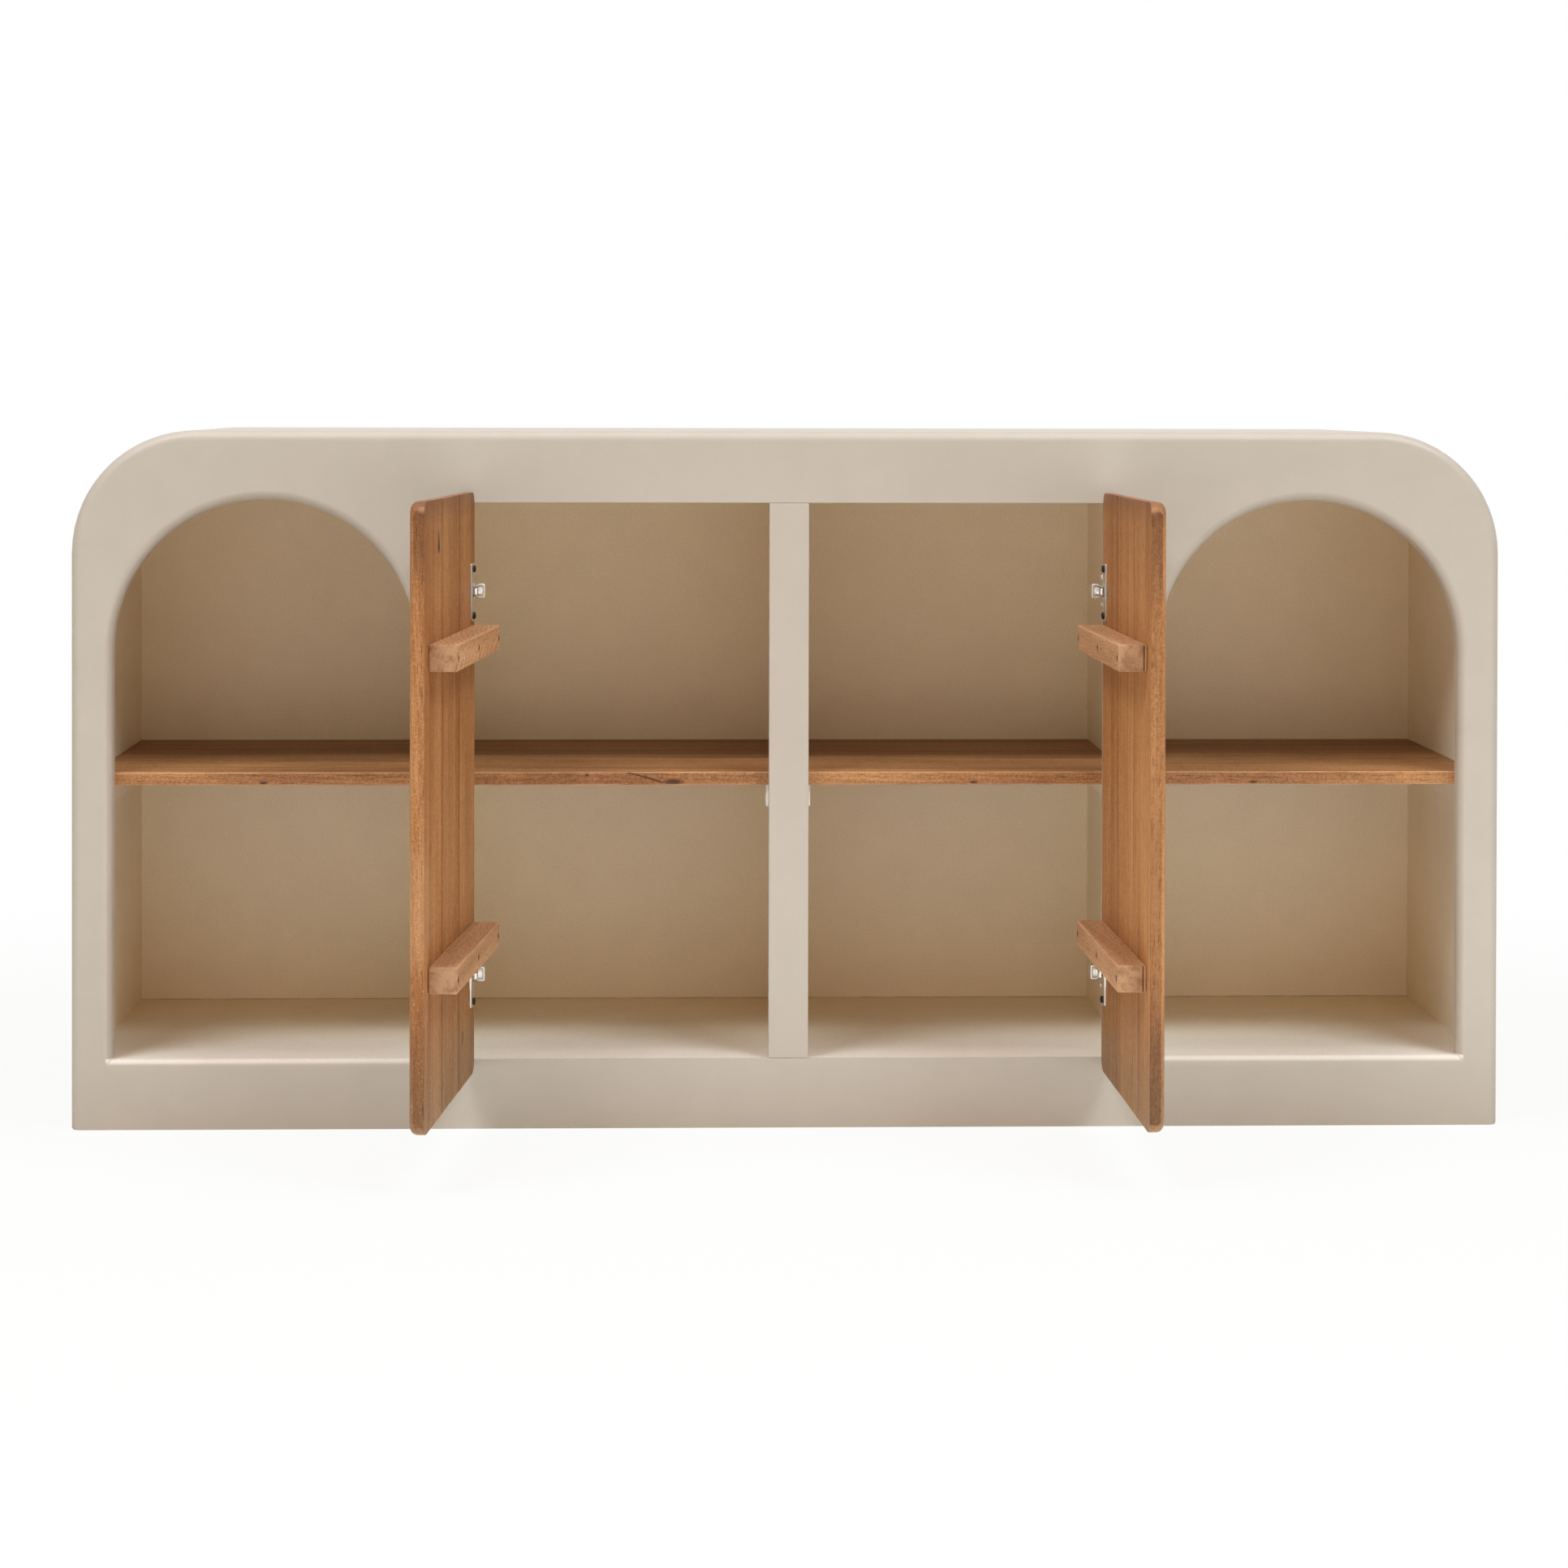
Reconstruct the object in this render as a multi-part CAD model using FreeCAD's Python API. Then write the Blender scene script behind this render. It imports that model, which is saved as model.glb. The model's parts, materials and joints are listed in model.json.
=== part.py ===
import FreeCAD, Part
import os
import math

# A low sideboard: a painted carcass behind one arched front frame, with an open niche at each
# end and two hinged wooden doors over the middle bays.
# Millimetres. X runs to the right, Y to the back and Z up.
# The origin is the middle of the carcass on the floor. The doors are drawn standing open.

# Carcass
overall_width = 1600.0
overall_depth = 416.0
overall_height = 780.0
corner_radius = 137.0
foot_corner_radius = 4.0
floor_height = 78.0
side_thickness = 19.0
top_thickness = 18.0
base_thickness = 18.0
partition_thickness = 18.0
back_thickness = 6.0
back_inset = 1.5
rail_thickness = 18.0

# Front frame
frame_thickness = 20.0
edge_roundover = 11.0
end_stile_width = 46.0
niche_width = 338.0
niche_crown_height = 77.0
pier_width = 62.0
top_rail_height = 80.0
centre_stile_width = 44.4
tenon_length = 14.0
tenon_thickness = 8.0
tenon_shoulder = 5.0
tenon_clearance = 0.1

# Inside the carcass
partition_setback = 29.0
shelf_thickness = 15.0
shelf_rise = 319.0
shelf_side_clearance = 0.4
shelf_arris = 1.2
cleat_width = 16.0
cleat_height = 25.0
cleat_front_gap = 6.0
cleat_nose_cut = 2.0

# Doors
door_thickness = 16.0
door_overlay_side = 13.0
door_overlay_top = 12.0
door_overlay_bottom = 13.0
door_meeting_gap = 3.0
door_closed_gap = 2.5
door_corner_radius = 15.0
door_roundover = 8.0
stave_seam_shares = (0.335, 0.67)
left_rest_degrees = 94.9
right_rest_degrees = 91.0
widest_degrees = 110.0

# Battens on the inner faces of the doors
batten_height = 28.0
batten_proud = 30.5
batten_arris = 1.5
batten_inset_top = 161.0
batten_inset_bottom = 156.0
batten_jamb_gap = 2.0
batten_stile_gap = 4.0
batten_screw_shares = (0.085, 0.50, 0.93)
batten_screw_head_radius = 2.6
batten_screw_shank_radius = 1.4
batten_screw_sink = 2.5
batten_screw_head_height = 2.2
batten_screw_bite = 10.0

# Concealed cup hinges
hinge_inset_top = 110.5
hinge_inset_bottom = 108.0
cup_radius = 17.5
cup_edge_distance = 2.5
cup_depth = 13.0
cup_wall = 0.6
cup_recess_clearance = 0.05
flange_height = 65.0
flange_width = 22.0
flange_corner_cut = 3.0
flange_thickness = 1.5
cup_slot_height = 11.0
cup_slot_reach = 2.0
cup_screw_spacing = 52.0
cup_screw_head_radius = 4.0
cup_screw_head_height = 2.8
cup_screw_shank_radius = 1.5
cup_screw_length = 11.0
pivot_edge_distance = 6.5
pivot_depth = 9.0
pin_radius = 1.1
pin_clearance = 0.05
pin_length = 16.4
eye_radius = 1.8
neck_height = 8.0
neck_thickness = 1.6
neck_drop = 2.2
neck_offset = 11.8
neck_wall = 2.5
arm_height = 16.0
arm_width = 12.8
arm_corner_cut = 2.5
arm_waist_height = 10.4
arm_waist_length = 1.5
arm_shoulder_length = 4.5
arm_front_gap = 1.5
arm_back_gap = 1.0
plate_height = 42.0
plate_thickness = 1.5
plate_chamfer = 0.6
plate_screw_spacing = 30.0
plate_screw_head_radius = 3.4
plate_screw_head_height = 1.6
plate_screw_shank_radius = 1.5
plate_screw_bite = 12.0

# Pan head screws that hold the back panel
back_screw_head_radius = 3.5
back_screw_head_height = 1.8
back_screw_shank_radius = 1.5
back_screw_bite = 14.0
back_screw_row_shares = (0.12, 0.5, 0.88)

cut_overrun = 1.0
screw_sides = 6
cup_sides = 24
pin_sides = 12

# Places that follow from the sizes above
half_width = overall_width / 2
front_y = -overall_depth / 2
frame_back_y = front_y + frame_thickness
rear_y = overall_depth / 2
back_panel_y = rear_y - back_thickness
side_inner_x = half_width - side_thickness
top_under_z = overall_height - top_thickness
base_under_z = floor_height - base_thickness
niche_outer_x = half_width - end_stile_width
niche_inner_x = niche_outer_x - niche_width
jamb_x = niche_inner_x - pier_width
bay_top_z = overall_height - top_rail_height
niche_apex_z = overall_height - niche_crown_height
partition_x = jamb_x + partition_setback
shelf_top_z = floor_height + shelf_rise
shelf_under_z = shelf_top_z - shelf_thickness
hinge_edge_x = jamb_x + door_overlay_side
free_edge_x = door_meeting_gap / 2
door_width = hinge_edge_x - free_edge_x
door_low_z = floor_height - door_overlay_bottom
door_high_z = bay_top_z + door_overlay_top
door_inner_y = front_y - door_closed_gap
door_outer_y = door_inner_y - door_thickness
pivot_x = hinge_edge_x - pivot_edge_distance
pivot_y = door_inner_y - pivot_depth
cup_x = hinge_edge_x - cup_edge_distance - cup_radius
seat_x = jamb_x - plate_thickness
hinge_heights = {"lower": door_low_z + hinge_inset_bottom, "upper": door_high_z - hinge_inset_top}
batten_heights = {"lower": door_low_z + batten_inset_bottom, "upper": door_high_z - batten_inset_top}
across_x = FreeCAD.Vector(1, 0, 0)
back_along_y = FreeCAD.Vector(0, 1, 0)
up_z = FreeCAD.Vector(0, 0, 1)


def board(x_low, x_high, y_low, y_high, z_low, z_high):
    corner = FreeCAD.Vector(x_low, y_low, z_low)
    return Part.makeBox(x_high - x_low, y_high - y_low, z_high - z_low, corner)


def prism(radius, length, start, direction, sides=screw_sides):
    """A rod with flat sides, for small round pieces and their holes."""
    across = across_x if direction.z else direction.cross(up_z)
    other = direction.cross(across)
    corners = []
    for number in range(sides + 1):
        turn = 2 * math.pi * number / sides
        corners.append(start + across * (radius * math.cos(turn)) + other * (radius * math.sin(turn)))
    return Part.Face(Part.makePolygon(corners)).extrude(direction * length)


def screw(seat, inward, head_radius, head_height, shank_radius, length):
    """A plain head that stands on its seat, and a shank that goes inward from it."""
    head = prism(head_radius, head_height, seat, -inward)
    return head.fuse(prism(shank_radius, length, seat, inward)).removeSplitter()


def mirrored(shape):
    return shape.mirror(FreeCAD.Vector(0, 0, 0), across_x)


def in_front_plane(x, z, y=front_y):
    return FreeCAD.Vector(x, y, z)


def rounded_outline(corners, y):
    """Round corners joined by straight runs. A corner is x, z, radius and the signs of its side and rise."""
    lean = math.sqrt(0.5)
    arcs = []
    for x, z, radius, side, rise in corners:
        centre_x = x - side * radius
        centre_z = z - rise * radius
        level_end = in_front_plane(centre_x, z, y)
        upright_end = in_front_plane(x, centre_z, y)
        middle = in_front_plane(centre_x + side * lean * radius, centre_z + rise * lean * radius, y)
        if side * rise < 0:
            arcs.append((level_end, middle, upright_end))
        else:
            arcs.append((upright_end, middle, level_end))
    edges = []
    for number, (start, middle, end) in enumerate(arcs):
        next_start = arcs[(number + 1) % len(arcs)][0]
        edges.append(Part.Arc(start, middle, end).toShape())
        edges.append(Part.LineSegment(end, next_start).toShape())
    return Part.Wire(edges)


def carcass_outline(inset, low_z, y):
    """The outline of the carcass seen from the front, drawn in by the inset, from low_z up."""
    half = half_width - inset
    high_z = overall_height - inset
    radius = corner_radius - inset
    corners = [(half, low_z, foot_corner_radius, 1, -1), (half, high_z, radius, 1, 1),
               (-half, high_z, radius, -1, 1), (-half, low_z, foot_corner_radius, -1, -1)]
    return rounded_outline(corners, y)


def niche_opening():
    """The right niche through the frame: upright sides under half a circle."""
    radius = niche_width / 2
    spring_z = niche_apex_z - radius
    centre_x = (niche_inner_x + niche_outer_x) / 2
    low_left = in_front_plane(niche_inner_x, floor_height)
    low_right = in_front_plane(niche_outer_x, floor_height)
    spring_right = in_front_plane(niche_outer_x, spring_z)
    apex = in_front_plane(centre_x, niche_apex_z)
    spring_left = in_front_plane(niche_inner_x, spring_z)
    edges = [Part.LineSegment(low_left, low_right).toShape(),
             Part.LineSegment(low_right, spring_right).toShape(),
             Part.Arc(spring_right, apex, spring_left).toShape(),
             Part.LineSegment(spring_left, low_left).toShape()]
    return Part.Face(Part.Wire(edges)).extrude(back_along_y * frame_thickness)


def lies_on_front(edge):
    box = edge.BoundBox
    return abs(box.YMin - front_y) < foot_corner_radius / 100 and box.YLength < foot_corner_radius / 100


def touches_floor_edge(edge):
    return edge.BoundBox.ZMin < foot_corner_radius / 100 and edge.BoundBox.ZLength < foot_corner_radius / 100


def make_front_frame():
    """One sheet with two arched niches, a wide bay, and roundovers on its outline and niches."""
    long_foot = carcass_outline(0, -2 * foot_corner_radius, front_y)
    frame = Part.Face(long_foot).extrude(back_along_y * frame_thickness)
    opening = niche_opening()
    frame = frame.cut(opening)
    frame = frame.cut(mirrored(opening))
    foot = board(-overall_width, overall_width, front_y - cut_overrun, frame_back_y + cut_overrun,
                 -overall_height, 0)
    frame = frame.cut(foot)
    rounded = []
    for edge in frame.Edges:
        if lies_on_front(edge) and not touches_floor_edge(edge):
            rounded.append(edge)
    frame = frame.makeFillet(edge_roundover, rounded)
    outline = carcass_outline(0, 0, front_y)
    frame = frame.common(Part.Face(outline).extrude(back_along_y * frame_thickness))
    bay = board(-jamb_x, jamb_x, front_y - cut_overrun, frame_back_y + cut_overrun, floor_height, bay_top_z)
    frame = frame.cut(bay)
    for pocket in tenons(tenon_clearance):
        frame = frame.cut(pocket)
    return frame


def tenons(clearance):
    """The two tongues of the centre stile, grown by the clearance for their pockets."""
    half = centre_stile_width / 2 - tenon_shoulder + clearance
    middle_y = front_y + frame_thickness / 2
    reach = tenon_length + clearance
    low_y = middle_y - tenon_thickness / 2 - clearance
    high_y = middle_y + tenon_thickness / 2 + clearance
    upper = board(-half, half, low_y, high_y, bay_top_z, bay_top_z + reach)
    lower = board(-half, half, low_y, high_y, floor_height - reach, floor_height)
    return [upper, lower]


def make_centre_stile():
    half = centre_stile_width / 2
    stile = board(-half, half, front_y, frame_back_y, floor_height, bay_top_z)
    for tongue in tenons(0):
        stile = stile.fuse(tongue)
    return stile.removeSplitter()


def make_side_panel():
    return board(side_inner_x, half_width, frame_back_y, back_panel_y, 0, overall_height - corner_radius)


def make_top_panel():
    half = half_width - corner_radius
    return board(-half, half, frame_back_y, back_panel_y, top_under_z, overall_height)


def make_top_corner():
    """A quarter of a tube that carries the side panel over into the top panel."""
    axis_start = FreeCAD.Vector(half_width - corner_radius, frame_back_y, overall_height - corner_radius)
    length = back_panel_y - frame_back_y
    outer = Part.makeCylinder(corner_radius, length, axis_start, back_along_y)
    bend = outer.cut(Part.makeCylinder(corner_radius - top_thickness, length, axis_start, back_along_y))
    quarter = board(half_width - corner_radius, half_width, frame_back_y, back_panel_y,
                    overall_height - corner_radius, overall_height)
    return bend.common(quarter)


def make_bottom_panel():
    return board(-side_inner_x, side_inner_x, frame_back_y, back_panel_y, base_under_z, floor_height)


def make_back_panel():
    outline = carcass_outline(back_inset, back_inset, back_panel_y)
    return Part.Face(outline).extrude(back_along_y * back_thickness)


def make_partition(inner_x):
    return board(inner_x, inner_x + partition_thickness, frame_back_y, back_panel_y,
                 floor_height, top_under_z)


def make_rear_rail():
    return board(-side_inner_x, side_inner_x, back_panel_y - rail_thickness, back_panel_y, 0, base_under_z)


def make_bearer(inner_x):
    return board(inner_x, inner_x + rail_thickness, frame_back_y, back_panel_y - rail_thickness,
                 0, base_under_z)


def compartments():
    """Name, low x and high x of each of the four compartments."""
    half_partition = partition_thickness / 2
    niche_x = partition_x + partition_thickness
    return [("left_niche", -side_inner_x, -niche_x), ("left_bay", -partition_x, -half_partition),
            ("right_bay", half_partition, partition_x), ("right_niche", niche_x, side_inner_x)]


def along_x_at(shape, y, z):
    """The edges that run along X through the given line."""
    near = shelf_arris / 100
    found = []
    for edge in shape.Edges:
        box = edge.BoundBox
        on_line = abs(box.YMin - y) < near and abs(box.ZMin - z) < near
        if on_line and box.YLength < near and box.ZLength < near:
            found.append(edge)
    return found


def make_shelf(x_low, x_high):
    shelf = board(x_low + shelf_side_clearance, x_high - shelf_side_clearance, frame_back_y, back_panel_y,
                  shelf_under_z, shelf_top_z)
    upper_edge = along_x_at(shelf, frame_back_y, shelf_top_z)
    lower_edge = along_x_at(shelf, frame_back_y, shelf_under_z)
    return shelf.makeChamfer(shelf_arris, upper_edge + lower_edge)


def make_cleat(wall_x, side):
    """A bearer strip on a wall; side is 1 when it stands to the right of the wall."""
    x_low = min(wall_x, wall_x + side * cleat_width)
    y_low = frame_back_y + cleat_front_gap
    z_low = shelf_under_z - cleat_height
    cleat = board(x_low, x_low + cleat_width, y_low, back_panel_y, z_low, shelf_under_z)
    nose = FreeCAD.Vector(x_low - cut_overrun, y_low, z_low)
    corners = [nose, nose + back_along_y * cleat_nose_cut, nose + up_z * cleat_nose_cut, nose]
    wedge = Part.Face(Part.makePolygon(corners)).extrude(across_x * (cleat_width + 2 * cut_overrun))
    return cleat.cut(wedge)


def runs_along_y(edge):
    box = edge.BoundBox
    return abs(box.YLength - door_thickness) < door_roundover / 100 and box.XLength < door_roundover / 100


def on_outer_face(edge):
    box = edge.BoundBox
    return abs(box.YMin - door_outer_y) < door_roundover / 100 and box.YLength < door_roundover / 100


def make_door_slab():
    """The closed right door with rounded corners and a roundover on its outer face."""
    slab = board(free_edge_x, hinge_edge_x, door_outer_y, door_inner_y, door_low_z, door_high_z)
    slab = slab.makeFillet(door_corner_radius, [edge for edge in slab.Edges if runs_along_y(edge)])
    return slab.makeFillet(door_roundover, [edge for edge in slab.Edges if on_outer_face(edge)])


def sunk_screw(x, z):
    """A batten screw, sunk below the face of the batten and biting into the door."""
    head_y = door_inner_y + batten_proud - batten_screw_sink - batten_screw_head_height
    seat = FreeCAD.Vector(x, head_y, z)
    return screw(seat, -back_along_y, batten_screw_head_radius, batten_screw_head_height,
                 batten_screw_shank_radius, head_y - door_inner_y + batten_screw_bite)


def make_batten(centre_z):
    x_low = centre_stile_width / 2 + batten_stile_gap
    x_high = jamb_x - batten_jamb_gap
    outer_y = door_inner_y + batten_proud
    z_low = centre_z - batten_height / 2
    z_high = centre_z + batten_height / 2
    batten = board(x_low, x_high, door_inner_y, outer_y, z_low, z_high)
    long_edges = along_x_at(batten, outer_y, z_low) + along_x_at(batten, outer_y, z_high)
    return batten.makeChamfer(batten_arris, long_edges)


def make_batten_screws():
    screws = []
    for centre_z in batten_heights.values():
        for share in batten_screw_shares:
            screws.append(sunk_screw(free_edge_x + share * door_width, centre_z))
    return screws


def screw_mouth(sunk):
    """The open hole over a sunk screw head."""
    box = sunk.BoundBox
    start = FreeCAD.Vector((box.XMin + box.XMax) / 2, box.YMax, (box.ZMin + box.ZMax) / 2)
    return prism(batten_screw_head_radius, batten_screw_sink + cut_overrun, start, back_along_y)


def cut_corners(half_wide, half_tall, cut):
    """The corners of an upright rectangle about zero whose own corners are cut off."""
    wide = half_wide - cut
    tall = half_tall - cut
    return [(-wide, -half_tall), (wide, -half_tall), (half_wide, -tall), (half_wide, tall),
            (wide, half_tall), (-wide, half_tall), (-half_wide, tall), (-half_wide, -tall)]


def make_flange(centre_z):
    """The upright strip on the inner face of the door that carries the two screws."""
    outline = cut_corners(flange_width / 2, flange_height / 2, flange_corner_cut)
    corners = [FreeCAD.Vector(cup_x + x, door_inner_y, centre_z + z) for x, z in outline]
    return Part.Face(Part.makePolygon(corners + corners[:1])).extrude(back_along_y * flange_thickness)


def make_cup(centre_z):
    """A covered cup under its flange, open where the neck of the arm swings through."""
    floor_point = FreeCAD.Vector(cup_x, door_inner_y - cup_depth, centre_z)
    body = prism(cup_radius, cup_depth, floor_point, back_along_y, cup_sides)
    cup = body.fuse(make_flange(centre_z)).removeSplitter()
    inner_radius = cup_radius - cup_wall
    hollow_start = floor_point + back_along_y * cup_wall
    cup = cup.cut(prism(inner_radius, cup_depth - 2 * cup_wall, hollow_start, back_along_y, cup_sides))
    through = prism(inner_radius, cup_depth + flange_thickness, hollow_start, back_along_y, cup_sides)
    slot = board(cup_x - cup_slot_reach, cup_x + cup_radius, door_inner_y - cup_depth,
                 door_inner_y + flange_thickness + cut_overrun,
                 centre_z - cup_slot_height / 2, centre_z + cup_slot_height / 2)
    return cup.cut(through.common(slot))


def make_pin(centre_z):
    start = FreeCAD.Vector(pivot_x, pivot_y, centre_z - pin_length / 2)
    return prism(pin_radius, pin_length, start, up_z, pin_sides)


def make_cup_screws(centre_z):
    screws = []
    for side in (-1, 1):
        seat = FreeCAD.Vector(cup_x, door_inner_y + flange_thickness,
                              centre_z + side * cup_screw_spacing / 2)
        screws.append(screw(seat, -back_along_y, cup_screw_head_radius, cup_screw_head_height,
                            cup_screw_shank_radius, cup_screw_length))
    return screws


def make_arm_body(centre_z):
    """A pressed channel seen from the front: narrow at its seat, wider after the shoulders, corners cut."""
    half = arm_height / 2
    waist = arm_waist_height / 2
    waist_x = seat_x - arm_waist_length
    shoulder_x = waist_x - arm_shoulder_length
    room_x = seat_x - arm_width
    upper = [(seat_x, waist), (waist_x, waist), (shoulder_x, half), (room_x + arm_corner_cut, half),
             (room_x, half - arm_corner_cut)]
    outline = upper + [(x, -z) for x, z in reversed(upper)]
    corners = [in_front_plane(x, centre_z + z, front_y + arm_front_gap) for x, z in outline]
    length = frame_thickness - arm_front_gap - arm_back_gap
    return Part.Face(Part.makePolygon(corners + corners[:1])).extrude(back_along_y * length)


def make_hinge_arm(centre_z):
    """The fixed arm: an eye round the pin, a cranked neck out of the cup, and a body on the plate."""
    wall_x = pivot_x - neck_offset
    low_z = centre_z - neck_height / 2
    eye = prism(eye_radius, neck_height, FreeCAD.Vector(pivot_x, pivot_y, low_z), up_z, pin_sides)
    half_thick = neck_thickness / 2
    elbow_y = pivot_y - neck_drop
    body_y = front_y + arm_front_gap + neck_wall
    bends = [(pivot_x, pivot_y + half_thick), (wall_x, elbow_y + half_thick), (wall_x, body_y),
             (wall_x - neck_wall, body_y), (wall_x - neck_wall, elbow_y - half_thick),
             (pivot_x, pivot_y - half_thick), (pivot_x, pivot_y + half_thick)]
    corners = [FreeCAD.Vector(x, y, low_z) for x, y in bends]
    neck = Part.Face(Part.makePolygon(corners)).extrude(up_z * neck_height)
    arm = eye.fuse(neck).fuse(make_arm_body(centre_z)).removeSplitter()
    bore_start = FreeCAD.Vector(pivot_x, pivot_y, low_z - cut_overrun)
    bore_length = neck_height + 2 * cut_overrun
    return arm.cut(prism(pin_radius + pin_clearance, bore_length, bore_start, up_z, pin_sides))


def make_hinge_plate(centre_z):
    """The thin plate between the jamb of the frame and the arm."""
    plate = board(seat_x, jamb_x, front_y + arm_front_gap, frame_back_y - arm_back_gap,
                  centre_z - plate_height / 2, centre_z + plate_height / 2)
    room_side = [edge for edge in plate.Edges if edge.BoundBox.XMax < seat_x + plate_chamfer / 2]
    return plate.makeChamfer(plate_chamfer, room_side)


def make_plate_screws(centre_z):
    screws = []
    middle_y = (front_y + arm_front_gap + frame_back_y - arm_back_gap) / 2
    for side in (-1, 1):
        seat = FreeCAD.Vector(seat_x, middle_y, centre_z + side * plate_screw_spacing / 2)
        screws.append(screw(seat, across_x, plate_screw_head_radius, plate_screw_head_height,
                            plate_screw_shank_radius, plate_thickness + plate_screw_bite))
    return screws


def make_back_screws():
    """Screws through the back panel into the sides, the bottom panel, the top and the rear rail."""
    places = []
    side_x = half_width - side_thickness / 2
    straight = overall_height - corner_radius
    top_half = half_width - corner_radius
    for share in back_screw_row_shares:
        places.append((side_x, share * straight))
        places.append((-side_x, share * straight))
        places.append((top_half * (2 * share - 1), overall_height - top_thickness / 2))
        places.append((side_inner_x * (2 * share - 1), base_under_z / 2))
    screws = []
    for x, z in places:
        seat = FreeCAD.Vector(x, rear_y, z)
        screws.append(screw(seat, -back_along_y, back_screw_head_radius, back_screw_head_height,
                            back_screw_shank_radius, back_thickness + back_screw_bite))
    return screws


def cut_all(shape, tools):
    for tool in tools:
        shape = shape.cut(tool)
    return shape


def make_staves(recesses):
    """The slab sawn into three upright boards, with the cup recesses and screw holes."""
    slab = cut_all(make_door_slab(), recesses)
    seams = [0] + [share * door_width for share in stave_seam_shares] + [door_width]
    staves = {}
    for number, name in enumerate(("meeting_stave", "middle_stave", "hinge_stave")):
        slice_box = board(free_edge_x + seams[number], free_edge_x + seams[number + 1],
                          door_outer_y, door_inner_y, door_low_z, door_high_z)
        staves[name] = slab.common(slice_box)
    return staves


def make_right_door():
    """Every piece that swings with the right door, in the closed place."""
    batten_screws = make_batten_screws()
    cup_screws = []
    pins = []
    recesses = list(batten_screws)
    parts = {}
    for level, centre_z in hinge_heights.items():
        screws = make_cup_screws(centre_z)
        parts[level + "_hinge_cup"] = cut_all(make_cup(centre_z), screws)
        cup_screws += screws
        pins.append(make_pin(centre_z))
        start = FreeCAD.Vector(cup_x, door_inner_y - cup_depth, centre_z)
        recesses.append(prism(cup_radius + cup_recess_clearance, cup_depth + cut_overrun, start,
                              back_along_y, cup_sides))
    recesses += cup_screws
    parts.update(make_staves(recesses))
    for level, centre_z in batten_heights.items():
        batten = cut_all(make_batten(centre_z), batten_screws)
        parts[level + "_batten"] = cut_all(batten, [screw_mouth(sunk) for sunk in batten_screws])
    parts["batten_screws"] = Part.makeCompound(batten_screws)
    parts["cup_screws"] = Part.makeCompound(cup_screws)
    parts["hinge_pins"] = Part.makeCompound(pins)
    return parts


def swung(shape, side, opening):
    """Turns a closed piece about the hinge line of its door; side is 1 on the right."""
    turned = shape.copy()
    turned.rotate(FreeCAD.Vector(side * pivot_x, pivot_y, 0), up_z, side * opening)
    return turned


def make_carcass():
    parts = {}
    plate_screws = []
    for level, centre_z in hinge_heights.items():
        screws = make_plate_screws(centre_z)
        plate = cut_all(make_hinge_plate(centre_z), screws)
        arm = make_hinge_arm(centre_z)
        parts["right_" + level + "_hinge_plate"] = plate
        parts["left_" + level + "_hinge_plate"] = mirrored(plate)
        parts["right_" + level + "_hinge_arm"] = arm
        parts["left_" + level + "_hinge_arm"] = mirrored(arm)
        plate_screws += screws + [mirrored(fixing) for fixing in screws]
    back_screws = make_back_screws()
    parts["hinge_plate_screws"] = Part.makeCompound(plate_screws)
    parts["back_panel_screws"] = Part.makeCompound(back_screws)
    parts["front_frame"] = cut_all(make_front_frame(), plate_screws)
    parts["centre_stile"] = make_centre_stile()
    side_panel = cut_all(make_side_panel(), back_screws)
    parts["right_side_panel"] = side_panel
    parts["left_side_panel"] = mirrored(side_panel)
    parts["top_panel"] = cut_all(make_top_panel(), back_screws)
    parts["right_top_corner"] = make_top_corner()
    parts["left_top_corner"] = mirrored(make_top_corner())
    parts["bottom_panel"] = make_bottom_panel()
    parts["back_panel"] = cut_all(make_back_panel(), back_screws)
    parts["rear_plinth_rail"] = cut_all(make_rear_rail(), back_screws)
    half_partition = partition_thickness / 2
    parts["centre_partition"] = make_partition(-half_partition)
    parts["right_partition"] = make_partition(partition_x)
    parts["left_partition"] = mirrored(make_partition(partition_x))
    parts["centre_plinth_bearer"] = make_bearer(-rail_thickness / 2)
    parts["right_plinth_bearer"] = make_bearer(partition_x)
    parts["left_plinth_bearer"] = mirrored(make_bearer(partition_x))
    for name, x_low, x_high in compartments():
        parts[name + "_shelf"] = make_shelf(x_low, x_high)
        parts[name + "_left_cleat"] = make_cleat(x_low, 1)
        parts[name + "_right_cleat"] = make_cleat(x_high, -1)
    return parts


def build():
    parts = make_carcass()
    for name, shape in make_right_door().items():
        parts["right_door_" + name] = swung(shape, 1, right_rest_degrees)
        parts["left_door_" + name] = swung(mirrored(shape), -1, left_rest_degrees)
    return parts


os.makedirs("parts", exist_ok=True)
for name, shape in build().items():
    shape.exportStep("parts/" + name + ".step")
    print(name, len(shape.Solids), round(shape.Volume), shape.isValid())
print("closing travel, left and right:", left_rest_degrees, right_rest_degrees)
print("further opening, left:", widest_degrees - left_rest_degrees)
print("further opening, right:", widest_degrees - right_rest_degrees)
print("hinge line at x", pivot_x, "y", pivot_y, "door width", door_width)
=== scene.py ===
import json
import math

import bmesh
import bpy
import numpy as np
from bpy.props import FloatProperty, FloatVectorProperty, IntProperty, PointerProperty
from mathutils import Matrix, Vector


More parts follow.
